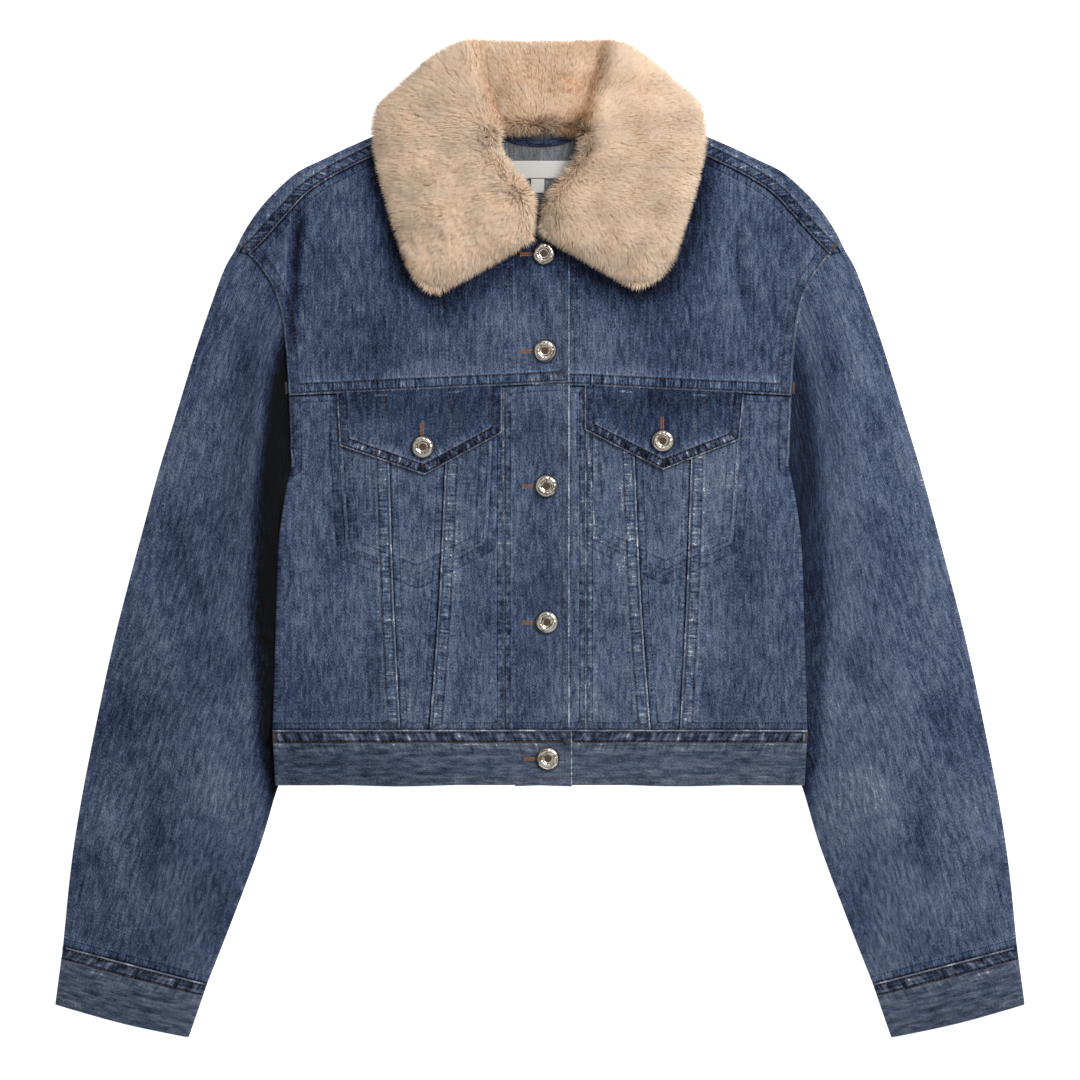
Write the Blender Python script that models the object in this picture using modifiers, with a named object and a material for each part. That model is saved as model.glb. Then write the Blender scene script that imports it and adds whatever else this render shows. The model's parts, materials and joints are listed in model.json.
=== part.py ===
"""Cropped denim jacket with a fur collar, laid flat on its back with its front buttoned.

Tables are in millimetres and meshes in metres. +Y runs from the hem to the collar, +X is the
wearer's left, +Z is up, and Z = 0 is the surface that the jacket lies on. Tables give X as the
distance from the centre line, so one table serves both sides.
"""

import math

import bmesh
import bpy
import numpy as np

MM = 0.001
RIGHT, LEFT = -1, 1
SIDE_NAMES = {RIGHT: "right", LEFT: "left"}


def table(columns, *rows):
    """Named columns, with a row for each point or section."""
    return dict(zip(columns.split(), np.array(rows, float).T))


# Cloth
DENIM = 1.2
BAND = 1.8
LINING_STRIP = 1.0
GAP = 0.3
SEAM = 0.4
FOLD_RADIUS = 2.9
FLAT = 2 * FOLD_RADIUS
FOLD_ANGLES = (0, 45, 90)
SPLIT_ANGLES = {DENIM: (18, 54, 90), BAND: (28, 59, 90)}

# Body, from the shoulder to the hem
ARMHOLE = table(
    "x y",
    (244, 231),
    (238, 230),
    (232, 227.6),
    (222, 216),
    (212.5, 200),
    (206.5, 180),
    (203.5, 158),
    (201.8, 136),
    (200.5, 115),
    (199.8, 100),
    (199.4, 86),
    (199, 72),
    (199, 59),
)
SHOULDER_SEAM_ROW = 2
BACK_YOKE_ROW = 6
FRONT_YOKE_ROW = 8
SIDE_EDGE = table("x y", (202.8, 42), (206.8, 15), (209, -5), (210.6, -50), (212, -100), (213.6, -152.5))
HEM_HALF_WIDTH = 211.4
BAND_MIDDLE = (212.5, -175)
WAIST_Y = -152.5
HEM_Y = -196.4
SHOULDER_FOLD = table(
    "x y",
    (244, 231),
    (236.5, 246),
    (226, 262),
    (212, 278),
    (193.6, 294),
    (174.4, 303.6),
    (154.4, 313.2),
    (125, 326),
    (96, 339),
)
SHOULDER_SEAM = table(
    "x y",
    (232, 227.6),
    (224, 235.5),
    (213, 247.5),
    (200, 262),
    (185.6, 277),
    (166, 290),
    (144, 301.2),
    (117, 313.5),
    (89, 326),
)
NECK_HALF_WIDTH = 96
NECK_BACK_Y = 325
NECK_RISE = 14
FRONT_NECK = table("x y", (0, 240), (20, 243), (48, 260), (72, 290), (89, 326))
BACK_YOKE_Y = 158

# Fronts: the right one laps over the left
LAP = {RIGHT: 23.5, LEFT: 20}
BAND_LAP = {RIGHT: 25.6, LEFT: 20}
PLACKET_SEAM = {RIGHT: 29, LEFT: 36.8}
YOKE_SEAM_SIDE_Y = 115
YOKE_SEAM_PLACKET_Y = 122.8
YOKE_SEAM_EDGE_Y = {RIGHT: 125.5, LEFT: 124}
LAP_RAMP = 24
LAP_FLAT_FROM = 22
INNER_V_SEAM = table("x y", (73, 123), (75.8, 62), (80.8, -48), (88.4, -152.5))
OUTER_V_SEAM = table("x y", (122.3, 119), (120.4, 62), (116.8, -48), (111.6, -152.5))

# Sleeves pass under the sides of the body, which is lifted there
SIDE_LIFT = 6.2
LIFT_FROM_X = 140
LIFT_OVER_X = 45
LIFT_BELOW_Y = 55
LIFT_OVER_Y = 40
SLEEVE = table(
    "outer_x outer_y inner_x inner_y",
    (244, 231, 199, 59),
    (252, 217, 203.8, 42),
    (261.6, 191.6, 207.8, 15),
    (275.2, 151.6, 205, -5),
    (291, 100, 199, -35),
    (305, 54, 193, -65),
    (318, 6, 191.5, -97),
    (329.5, -37, 192, -130),
    (342.4, -88.4, 199, -172),
    (355, -148, 210, -199),
    (366.8, -208.4, 223, -242.5),
    (375, -262, 244, -299),
    (381.4, -325, 266, -355),
)
CUFF = table(
    "outer_x outer_y inner_x inner_y",
    (381.4, -325, 266, -355),
    (384.6, -349, 273.5, -377),
    (387.6, -371.6, 280.8, -398),
)

# Chest pockets: pointed flaps, and bags sewn inside the fronts
POCKET = {
    RIGHT: {
        "flap": table("x y", (30.4, 85.2), (60, 69), (92, 51.6), (126, 63.5), (160, 75)),
        "flap_outer_top_x": 162.4,
        "bag": table("x y", (43.5, -2), (70, -16), (97.6, -30), (125, -19.5), (153, -8.4)),
        "bag_outer_top_x": 159,
    },
    LEFT: {
        "flap": table("x y", (35.6, 87.6), (66, 72), (98, 55.6), (128, 67), (159.2, 79.6)),
        "flap_outer_top_x": 163.2,
        "bag": table("x y", (43.6, 1.6), (71, -12.5), (99.2, -26.8), (126, -14.5), (152.8, -2)),
        "bag_outer_top_x": 158.5,
    },
}
FLAP_ROWS = 4
BAG_ROWS = 5
BAG_CLEARANCE = 0.9

# Collar: two leaves folded over the fronts, and a low stretch behind the neck
COLLAR_BACK = table(
    "inner_x outer_x outer_y",
    (28, 127, 348),
    (24, 108.5, 365),
    (18, 85.5, 385.5),
    (12, 61, 397.4),
    (6, 30, 398),
    (0, 0, 398),
)
COLLAR_LEAF = {
    RIGHT: table(
        "inner_x inner_y outer_x outer_y",
        (6.4, 239, 76, 196),
        (4.5, 246, 90, 199),
        (3.2, 254, 101, 209),
        (2.8, 268, 109, 226),
        (8.5, 281, 117, 252),
        (26.4, 302.8, 127, 288),
        (31.5, 316, 132.6, 315),
        (31, 326.8, 132.6, 334),
    ),
    LEFT: table(
        "inner_x inner_y outer_x outer_y",
        (1, 243, 68, 205.5),
        (0, 250, 81, 203),
        (-0.5, 256, 95, 209),
        (0.2, 266, 107.5, 223.5),
        (7, 280, 114, 246),
        (24, 301, 124, 280),
        (31, 316, 131.2, 312),
        (31, 326.8, 131.4, 332),
    ),
}
COLLAR_END_BOW = {RIGHT: 3.5, LEFT: 0.5}
COLLAR_BOW_ROWS = 3
LEAF_STEP = table("y x", (300, -60), (318, 10), (324, 28), (328, 35), (362, 46), (384, 50), (398, 58))
LEAF_STEP_WIDTH = 10
UNDERCOLLAR_STEP_WIDTH = 24
UNDERCOLLAR_LOW_Z = 0.2
UNDERCOLLAR_Z = 7.8
UNDERCOLLAR_INSET = 5
COLLAR_DROP_FROM = 6
COLLAR_DROP_OVER = 18
FUR_CLEARANCE = 1.8
LEAF_TOP_Z = 27
BACK_TOP_Z = 16
FUR_EDGE = 4
FUR_ACROSS = (0, 0.035, 0.1, 0.22, 0.4, 0.6, 0.78, 0.9, 0.965, 1)
FUR_ROUND = 0.22
FUR_END_ROWS = 3
UNDERCOLLAR_ACROSS = (0, 0.14, 0.3, 0.5, 0.7, 0.86, 1)

# Small pieces inside the back of the neck
LOOP = table("x y", (-30, 323.5), (-18, 319), (0, 317), (18, 319), (30, 323.5))
LOOP_WIDTH = 6
LABEL = {"x": (-29, 29), "y": (288.6, 302.8)}
SIZE_TAB = {"x": (-7.2, 3.4), "y": (277, 288.2)}

# Shank buttons: a domed ring round a sunk disc
BUTTON_PROFILE = table(
    "r z",
    (0, 3.1),
    (3.3, 3.1),
    (3.9, 4.3),
    (5.6, 4.8),
    (7.9, 3.9),
    (9.4, 1.7),
    (9.1, 0.5),
    (8.4, 0),
    (0, 0),
)
BUTTON_STEPS = 16
FRONT_BUTTONS = table("x y", (3.2, 228.4), (4, 150.8), (5.2, 42.8), (5.6, -66), (6.4, -174.8))
POCKET_BUTTON = {RIGHT: (-93.6, 74), LEFT: (98.1, 78.8)}

# Columns of the flat grids, as shares of each panel's width
BODY_ROWS_Y = (100, 86, 72, 59, 42, 15, -5, -50, -100, WAIST_Y)
BACK_UPPER_ROWS_Y = (115, 136, BACK_YOKE_Y)
SIDE_FOLD_TOP_Y = 72
SIDE_FOLD_OVER_Y = 13
NECK_COLUMNS_X = (72, 48, 24, 0)
YOKE_COLUMNS_X = (200.5, 178, 155, 130, 105, 80, 55)
YOKE_EDGE_MIDDLE_Y = 182
YOKE_NECK_COLUMNS = 5
BAND_COLUMNS = (0, 0.1, 0.2, 0.3, 0.48, 0.68, 0.76, 0.84, 0.92, 1)
CUFF_COLUMNS = 6
BACK_COLUMNS = (0, 0.2, 0.45, 0.66, 0.74, 0.82, 0.9, 1)
SIDE_COLUMNS = 5
PANEL_COLUMNS = 3


def clear_scene():
    for obj in list(bpy.data.objects):
        bpy.data.objects.remove(obj)
    for mesh in list(bpy.data.meshes):
        bpy.data.meshes.remove(mesh)


def linear(hex_colour):
    """An sRGB hex colour as the linear values that a shader takes."""
    channels = [int(hex_colour[i : i + 2], 16) / 255 for i in (0, 2, 4)]
    return [c / 12.92 if c <= 0.04045 else ((c + 0.055) / 1.055) ** 2.4 for c in channels] + [1]


def material(name, hex_colour, roughness, metallic=0.0):
    made = bpy.data.materials.get(name) or bpy.data.materials.new(name)
    made.use_nodes = True
    shader = made.node_tree.nodes["Principled BSDF"]
    shader.inputs["Base Color"].default_value = linear(hex_colour)
    shader.inputs["Roughness"].default_value = roughness
    shader.inputs["Metallic"].default_value = metallic
    return made


def smooth(share):
    """0 to 1 with level ends."""
    share = np.clip(share, 0, 1)
    return share * share * (3 - 2 * share)


def points(named):
    """The table's X and Y columns as points."""
    return np.stack([named["x"], named["y"]], axis=1)


def x_at(named, y):
    """X at height Y on an edge whose table runs downwards."""
    return np.interp(y, named["y"][::-1], named["x"][::-1])


def joined(first, second):
    return {key: np.concatenate([first[key], second[key]]) for key in ("x", "y")}


BODY_EDGE = joined(ARMHOLE, SIDE_EDGE)


def neck_y(x):
    """The back neck seam."""
    return NECK_BACK_Y + NECK_RISE * (np.abs(x) / NECK_HALF_WIDTH) ** 2


def yoke_seam_y(x, side):
    """The seam under a front yoke, X measured outwards."""
    edge_x, band_x, armhole_x = -LAP[side], PLACKET_SEAM[side], ARMHOLE["x"][FRONT_YOKE_ROW]
    heights = (YOKE_SEAM_EDGE_Y[side], YOKE_SEAM_PLACKET_Y, YOKE_SEAM_SIDE_Y)
    return np.interp(x, (edge_x, band_x, armhole_x), heights)


def lift(x, y):
    """How far the body is raised where a sleeve passes under its side."""
    sideways = smooth((np.abs(x) - LIFT_FROM_X) / LIFT_OVER_X)
    return SIDE_LIFT * sideways * smooth((LIFT_BELOW_Y - y) / LIFT_OVER_Y)


def front_z(x, y, side, wall=DENIM):
    """The outer face of a front. The right one climbs onto the left one's edge."""
    lap = (wall + GAP) * smooth((x + LAP_FLAT_FROM + LAP_RAMP) / LAP_RAMP) if side == RIGHT else 0
    return FLAT + lift(x, y) + lap


def coons(bottom, top, left, right):
    """Plan points between four edges, in rows from bottom to top."""
    u = np.linspace(0, 1, len(bottom))[None, :, None]
    v = np.linspace(0, 1, len(left))[:, None, None]
    across = (1 - u) * left[:, None] + u * right[:, None]
    along = (1 - v) * bottom[None] + v * top[None]
    lower = (1 - u) * bottom[0] + u * bottom[-1]
    upper = (1 - u) * top[0] + u * top[-1]
    return across + along - (1 - v) * lower - v * upper


def resampled(edge, count):
    """The edge with points at equal steps along it."""
    lengths = np.concatenate([[0], np.cumsum(np.linalg.norm(np.diff(edge, axis=0), axis=1))])
    steps = np.linspace(0, lengths[-1], count)
    return np.stack([np.interp(steps, lengths, edge[:, axis]) for axis in (0, 1)], axis=1)


def inset(plan, gap):
    """The plan with its whole border drawn in, which leaves the gap of a seam."""
    moved = plan.copy()
    edges = (
        (np.s_[0, :], np.s_[1, :]),
        (np.s_[-1, :], np.s_[-2, :]),
        (np.s_[:, 0], np.s_[:, 1]),
        (np.s_[:, -1], np.s_[:, -2]),
    )
    for edge, next_in in edges:
        along = np.gradient(plan[edge], axis=0)
        inwards = np.stack([-along[:, 1], along[:, 0]], axis=1)
        inwards /= np.linalg.norm(inwards, axis=1, keepdims=True)
        same_way = np.sum(inwards * (plan[next_in] - plan[edge]), axis=1, keepdims=True) > 0
        moved[edge] += gap * np.where(same_way, inwards, -inwards)
    return moved


def raised(plan, height):
    """The plan's points with Z from a height, or from a function of X and Y."""
    z = height(plan[..., 0], plan[..., 1]) if callable(height) else np.full(plan.shape[:2], height)
    return np.concatenate([plan, z[..., None]], axis=2)


def folded(grid, up, weight=1.0, angles=FOLD_ANGLES):
    """The grid with its first column bent round to the middle of the laid garment.

    up is 1 on an upper layer and -1 on a lower one. The weight is 0 where a row has no fold.
    """
    edge, inwards = grid[:, 0], grid[:, 1, :2] - grid[:, 0, :2]
    inwards = inwards / np.linalg.norm(inwards, axis=1, keepdims=True)
    weight = np.broadcast_to(weight, len(edge))
    columns = []
    for angle in np.radians(angles):
        column = edge.copy()
        column[:, :2] += inwards * FOLD_RADIUS * (1 - math.cos(angle))
        column[:, 2] -= up * weight * FOLD_RADIUS * (1 - math.sin(angle))
        columns.append(column)
    return np.concatenate([np.stack(columns, axis=1), grid[:, 1:]], axis=1)


def folded_far(grid, up, weight=1.0, angles=FOLD_ANGLES):
    """The same on the last column."""
    return folded(grid[:, ::-1], up, weight, angles)[:, ::-1]


def add_surface(bm, grid, up):
    """A grid of faces through the points, turned so that most face up, or down where up is -1."""
    rows, columns = grid.shape[:2]
    made = bmesh.ops.create_grid(bm, x_segments=columns - 1, y_segments=rows - 1, size=1)["verts"]
    for vertex in made:
        column = round((vertex.co.x + 1) / 2 * (columns - 1))
        row = round((vertex.co.y + 1) / 2 * (rows - 1))
        vertex.co = grid[row, column] * MM
    faces = list({face for vertex in made for face in vertex.link_faces})
    total = 0
    for face in faces:
        face.normal_update()
        total += face.normal.z * face.calc_area()
    if total * up < 0:
        bmesh.ops.reverse_faces(bm, faces=faces)


def new_object(name, bm, look):
    mesh = bpy.data.meshes.new(name)
    bm.to_mesh(mesh)
    bm.free()
    mesh.materials.append(look)
    mesh.shade_smooth()
    obj = bpy.data.objects.new(name, mesh)
    bpy.data.collections["denim_jacket"].objects.link(obj)
    return obj


def welded_surfaces(surfaces):
    bm = bmesh.new()
    for grid, up in surfaces:
        add_surface(bm, grid, up)
    bmesh.ops.remove_doubles(bm, verts=bm.verts, dist=0.002 * MM)
    return bm


def cloth(name, surfaces, look, wall=DENIM):
    """A wall of cloth inside its outer surfaces, each a grid and the way that it faces."""
    obj = new_object(name, welded_surfaces(surfaces), look)
    solidify = obj.modifiers.new("Wall", "SOLIDIFY")
    solidify.thickness = wall * MM
    solidify.offset = -1
    solidify.use_even_offset = True
    return obj


def placed(plan, side):
    """A plan measured outwards from the centre line, on its own side."""
    return plan * (side, 1)


def fold_weight(y):
    """Full below the underarm, and none where the sleeve joins."""
    return smooth((SIDE_FOLD_TOP_Y - y) / SIDE_FOLD_OVER_Y)


def make_back():
    yoke_columns = np.concatenate([SHOULDER_FOLD["x"], NECK_COLUMNS_X])
    top_right = np.stack([yoke_columns, neck_y(yoke_columns)], axis=1)
    top_right[: len(SHOULDER_FOLD["x"])] = points(SHOULDER_FOLD)
    top = np.concatenate([placed(top_right, RIGHT), placed(top_right[-2::-1], LEFT)])
    seam_x = ARMHOLE["x"][BACK_YOKE_ROW]
    bottom = np.stack([top[:, 0] * seam_x / ARMHOLE["x"][0], np.full(len(top), BACK_YOKE_Y)], axis=1)
    side = points(ARMHOLE)[BACK_YOKE_ROW::-1]
    plan = inset(coons(bottom, top, placed(side, RIGHT), placed(side, LEFT)), SEAM / 2)
    over_shoulder = (np.abs(top[:, 0]) > NECK_HALF_WIDTH - 1).astype(float)
    flat = raised(plan, 0.0)
    yoke = folded_far(flat.transpose(1, 0, 2), -1, over_shoulder).transpose(1, 0, 2)
    surfaces = [(yoke, -1)]
    shoulder = len(SHOULDER_FOLD["x"])
    for side_sign, fold in ((RIGHT, plan[-1, :shoulder]), (LEFT, plan[-1, : -shoulder - 1 : -1])):
        seam = placed(points(SHOULDER_SEAM), side_sign)
        middle = (fold + seam) / 2
        middle[0] = points(ARMHOLE)[1] * (side_sign, 1)
        ear = np.stack([fold, middle, seam], axis=1)
        drawn_in = inset(ear, SEAM / 2)
        drawn_in[:, 0] = fold
        surfaces.append((folded(raised(drawn_in, FLAT), 1), 1))
    cloth("back_yoke", surfaces, denim)

    shares = np.array([-share for share in BACK_COLUMNS[:0:-1]] + list(BACK_COLUMNS))
    levels = np.array(sorted((*BODY_ROWS_Y, *BACK_UPPER_ROWS_Y)))
    across = x_at(BODY_EDGE, levels)
    heights = np.broadcast_to(levels[:, None], (len(levels), len(shares)))
    plan = np.stack([across[:, None] * shares, heights], axis=2)
    grid = raised(inset(plan, SEAM / 2), lift)
    weight = fold_weight(levels)
    grid = folded(grid, -1, weight, SPLIT_ANGLES[DENIM])
    cloth("back_panel", [(folded_far(grid, -1, weight, SPLIT_ANGLES[DENIM]), -1)], denim)


def make_front_yoke(side):
    columns = np.array([*YOKE_COLUMNS_X, PLACKET_SEAM[side], -LAP[side]])
    bottom = np.stack([columns, yoke_seam_y(columns, side)], axis=1)
    front_edge_top = (-LAP[side], FRONT_NECK["y"][0])
    front = np.array([bottom[-1], (-LAP[side], YOKE_EDGE_MIDDLE_Y), front_edge_top])
    neck = resampled(np.concatenate([[front_edge_top], points(FRONT_NECK)]), YOKE_NECK_COLUMNS)
    right_edge = np.concatenate([front, neck[1:]])
    armhole = points(ARMHOLE)[FRONT_YOKE_ROW : SHOULDER_SEAM_ROW - 1 : -1]
    plan = placed(inset(coons(bottom, points(SHOULDER_SEAM), armhole, right_edge), SEAM / 2), side)
    grid = raised(plan, lambda x, y: front_z(x, y, side))
    cloth(f"front_yoke_{SIDE_NAMES[side]}", [(grid, 1)], denim)


def panel_plan(inner, outer, columns, side):
    """A lower front panel between two seams given as functions of Y."""
    shares = np.linspace(0, 1, columns + 1)
    levels = np.array([yoke_seam_y(outer(YOKE_SEAM_SIDE_Y), side), *BODY_ROWS_Y])
    across = [inner(y) + (outer(y) - inner(y)) * shares for y in levels]
    heights = [yoke_seam_y(across[0], side)] + [np.full(columns + 1, y) for y in levels[1:]]
    return np.stack([np.array(across), np.array(heights)], axis=2)


def make_lower_front(side):
    name = SIDE_NAMES[side]
    lap_edge, band_seam = -LAP[side], PLACKET_SEAM[side]
    panels = (
        ("placket", lambda y: lap_edge, lambda y: band_seam),
        ("front_centre", lambda y: band_seam, lambda y: x_at(INNER_V_SEAM, y)),
        ("front_middle", lambda y: x_at(INNER_V_SEAM, y), lambda y: x_at(OUTER_V_SEAM, y)),
    )
    for label, inner, outer in panels:
        plan = placed(inset(panel_plan(inner, outer, PANEL_COLUMNS, side), SEAM / 2), side)
        grid = raised(plan, lambda x, y: front_z(x, y, side))
        cloth(f"{label}_{name}", [(grid, 1)], denim)
    plan = panel_plan(lambda y: x_at(OUTER_V_SEAM, y), lambda y: x_at(BODY_EDGE, y), SIDE_COLUMNS, side)
    plan = placed(inset(plan, SEAM / 2), side)
    weight = fold_weight(plan[:, -1, 1])
    grid = folded_far(raised(plan, lambda x, y: front_z(x, y, side)), 1, weight, SPLIT_ANGLES[DENIM])
    cloth(f"front_side_{name}", [(grid, 1)], denim)


def band_plan(first_x, side_shares):
    """The waistband from one end to the side, its lower corner a little narrower."""
    rows = []
    sides = ((x_at(BODY_EDGE, WAIST_Y), WAIST_Y), BAND_MIDDLE, (HEM_HALF_WIDTH, HEM_Y))
    for half_width, y in sides:
        x = first_x + (half_width - first_x) * side_shares
        rows.append(np.stack([x, np.full(len(x), y)], axis=1))
    return np.array(rows)


def make_waistband():
    for side in (RIGHT, LEFT):
        plan = placed(inset(band_plan(-BAND_LAP[side], np.array(BAND_COLUMNS)), SEAM / 2), side)
        grid = raised(plan, lambda x, y: front_z(x, y, side, BAND))
        grid = folded_far(grid, 1, 1.0, SPLIT_ANGLES[BAND])
        cloth(f"waistband_{SIDE_NAMES[side]}", [(grid, 1)], denim_dark, BAND)
    half = band_plan(0, np.array(BACK_COLUMNS))
    whole = np.concatenate([placed(half[:, :0:-1], RIGHT), half], axis=1)
    grid = folded(raised(inset(whole, SEAM / 2), lift), -1, 1.0, SPLIT_ANGLES[BAND])
    cloth("waistband_back", [(folded_far(grid, -1, 1.0, SPLIT_ANGLES[BAND]), -1)], denim_dark, BAND)


def make_tube(name, plan, look, wall):
    """A tube of cloth pressed flat: an upper and a lower layer that meet at two folds."""
    surfaces = []
    for height, up in ((FLAT, 1), (0.0, -1)):
        grid = folded(raised(plan, height), up)
        surfaces.append((folded_far(grid, up), up))
    cloth(name, surfaces, look, wall)


def tube_edges(sections):
    outer = np.stack([sections["outer_x"], sections["outer_y"]], axis=1)
    inner = np.stack([sections["inner_x"], sections["inner_y"]], axis=1)
    return outer, inner


def make_sleeve(side):
    outer, inner = tube_edges(SLEEVE)
    armhole = points(ARMHOLE)
    wrist = np.linspace(outer[-1], inner[-1], len(armhole))
    plan = inset(coons(armhole, wrist, outer, inner), SEAM / 2)
    make_tube(f"sleeve_{SIDE_NAMES[side]}", placed(plan, side), denim, DENIM)
    outer, inner = tube_edges(CUFF)
    rows = [np.linspace(start, end, CUFF_COLUMNS + 1) for start, end in zip(outer, inner)]
    make_tube(f"cuff_{SIDE_NAMES[side]}", placed(inset(np.array(rows), SEAM / 2), side), denim_dark, BAND)


def hanging_plan(lower, top_outer_x, rows, side):
    """A shape that hangs from the yoke seam to a pointed lower edge."""
    bottom = points(lower)
    top_x = lower["x"][0] + (lower["x"] - lower["x"][0]) * (
        (top_outer_x - lower["x"][0]) / (lower["x"][-1] - lower["x"][0])
    )
    top = np.stack([top_x, yoke_seam_y(top_x, side) - SEAM], axis=1)
    share = np.linspace(0, 1, rows + 1)[:, None, None]
    return placed((1 - share) * bottom + share * top, side)


def make_pocket(side):
    name, pocket = SIDE_NAMES[side], POCKET[side]
    plan = hanging_plan(pocket["flap"], pocket["flap_outer_top_x"], FLAP_ROWS, side)
    grid = raised(plan, lambda x, y: front_z(x, y, side) + GAP + DENIM)
    cloth(f"pocket_flap_{name}", [(grid, 1)], denim_dark)
    plan = hanging_plan(pocket["bag"], pocket["bag_outer_top_x"], BAG_ROWS, side)
    grid = raised(plan, lambda x, y: front_z(x, y, side) - DENIM - BAG_CLEARANCE)
    cloth(f"pocket_bag_{name}", [(grid, 1)], denim_reverse)


def body_top_y(x):
    """The upper outline of the body: the back neck, then the shoulder folds."""
    x = np.abs(x)
    fold = np.interp(x, SHOULDER_FOLD["x"][::-1], SHOULDER_FOLD["y"][::-1])
    return np.where(x < NECK_HALF_WIDTH, neck_y(x), fold)


def leaf_share(x, y, width):
    """1 on the folded leaves and 0 on the low stretch behind the neck."""
    step = np.interp(y, LEAF_STEP["y"], LEAF_STEP["x"])
    return smooth((np.abs(x) - step) / width + 0.5)


def undercollar_z(x, y):
    """The underside of the undercollar: on the fronts, and down on the surface past them."""
    past_body = y - body_top_y(x) - COLLAR_DROP_FROM
    raised_share = leaf_share(x, y, UNDERCOLLAR_STEP_WIDTH) * (1 - smooth(past_body / COLLAR_DROP_OVER))
    return UNDERCOLLAR_LOW_Z + (UNDERCOLLAR_Z - UNDERCOLLAR_LOW_Z) * raised_share


def collar_plan(across):
    """Rows across the collar, from the end of the right leaf round to the end of the left."""
    across = np.array(across)[:, None]
    halves = []
    for side in (RIGHT, LEFT):
        leaf = COLLAR_LEAF[side]
        inner = np.stack([leaf["inner_x"], leaf["inner_y"]], axis=1)
        outer = np.stack([leaf["outer_x"], leaf["outer_y"]], axis=1)
        back_inner = np.stack([COLLAR_BACK["inner_x"], neck_y(COLLAR_BACK["inner_x"]) + SEAM + GAP], axis=1)
        back_outer = np.stack([COLLAR_BACK["outer_x"], COLLAR_BACK["outer_y"]], axis=1)
        inner, outer = np.concatenate([inner, back_inner]), np.concatenate([outer, back_outer])
        rows = np.array([a + (b - a) * across for a, b in zip(inner, outer)])
        end = outer[0] - inner[0]
        outwards = np.array([end[1], -end[0]]) / np.linalg.norm(end)
        for row in range(COLLAR_BOW_ROWS):
            bow = COLLAR_END_BOW[side] * (1 - row / COLLAR_BOW_ROWS)
            rows[row] += outwards * bow * np.sin(math.pi * across)
        halves.append(placed(rows, side))
    return np.concatenate([halves[0], halves[1][-2::-1]])


def make_collar():
    drawn_in = inset(collar_plan(UNDERCOLLAR_ACROSS), UNDERCOLLAR_INSET)
    under = raised(drawn_in, lambda x, y: undercollar_z(x, y) + DENIM)
    cloth("undercollar", [(under, 1)], denim_dark)

    plan = collar_plan(FUR_ACROSS)
    across = np.array(FUR_ACROSS)
    from_edge = np.minimum(across, 1 - across) / FUR_ROUND
    row = np.arange(len(plan))
    from_end = np.minimum(row, row[::-1]) / FUR_END_ROWS
    edge_share = np.minimum(1, np.minimum(from_edge[None, :], from_end[:, None]))
    dome = np.sqrt(1 - (1 - edge_share) ** 2)
    x, y = plan[..., 0], plan[..., 1]
    floor = undercollar_z(x, y) + DENIM + FUR_CLEARANCE
    top = BACK_TOP_Z + (LEAF_TOP_Z - BACK_TOP_Z) * leaf_share(x, y, LEAF_STEP_WIDTH)
    rim = floor + FUR_EDGE
    upper = np.concatenate([plan, (rim + (top - rim) * dome)[..., None]], axis=2)
    on_border = edge_share == 0
    lower = np.concatenate([plan, np.where(on_border, rim, floor)[..., None]], axis=2)
    new_object("collar_fur", welded_surfaces([(upper, 1), (lower, -1)]), fur)


def strip_plan(box):
    x = np.linspace(*box["x"], 3)
    y = np.linspace(*box["y"], 3)
    return np.stack(np.meshgrid(x, y), axis=2)


def make_neck_pieces():
    line = points(LOOP)
    edges = [line + (0, -LOOP_WIDTH / 2), line, line + (0, LOOP_WIDTH / 2)]
    top_z = DENIM + GAP + LINING_STRIP
    cloth("hanger_loop", [(raised(np.array(edges), top_z), 1)], denim_dark, LINING_STRIP)
    cloth("neck_label", [(raised(strip_plan(LABEL), top_z), 1)], label_cloth, LINING_STRIP)
    cloth("size_tab", [(raised(strip_plan(SIZE_TAB), top_z), 1)], label_cloth, LINING_STRIP)


def make_button(name, x, y, base_z):
    """A turned profile whose outer side runs from the top down."""
    mesh = bpy.data.meshes.new(name)
    profile = [(r * MM, 0, z * MM) for r, z in zip(BUTTON_PROFILE["r"], BUTTON_PROFILE["z"])]
    mesh.from_pydata(profile, [(i, i + 1) for i in range(len(profile) - 1)], [])
    mesh.materials.append(nickel)
    obj = bpy.data.objects.new(name, mesh)
    obj.location = (x * MM, y * MM, base_z * MM)
    bpy.data.collections["denim_jacket"].objects.link(obj)
    screw = obj.modifiers.new("Turn", "SCREW")
    screw.axis = "Z"
    screw.steps = BUTTON_STEPS
    screw.render_steps = BUTTON_STEPS
    screw.use_merge_vertices = True
    screw.merge_threshold = 0.00001
    screw.use_smooth_shade = True


def make_buttons():
    for number, (x, y) in enumerate(points(FRONT_BUTTONS), 1):
        wall = BAND if y < WAIST_Y else DENIM
        make_button(f"button_front_{number}", x, y, FLAT + wall + 2 * GAP)
    for side, (x, y) in POCKET_BUTTON.items():
        flap_top = front_z(x, y, side) + GAP + DENIM
        make_button(f"button_pocket_{SIDE_NAMES[side]}", x, y, flap_top + GAP)


clear_scene()
bpy.context.scene.collection.children.link(bpy.data.collections.new("denim_jacket"))
denim = material("washed_denim", "4A5F80", 0.85)
denim_dark = material("dark_denim", "38486A", 0.85)
denim_reverse = material("denim_reverse", "767C82", 0.9)
fur = material("cream_fur", "E0C2A5", 0.95)
label_cloth = material("label_satin", "F0EFEC", 0.5)
nickel = material("nickel", "C9C2B6", 0.25, 1.0)

make_back()
for each_side in (RIGHT, LEFT):
    make_front_yoke(each_side)
    make_lower_front(each_side)
    make_sleeve(each_side)
    make_pocket(each_side)
make_waistband()
make_collar()
make_neck_pieces()
make_buttons()
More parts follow.
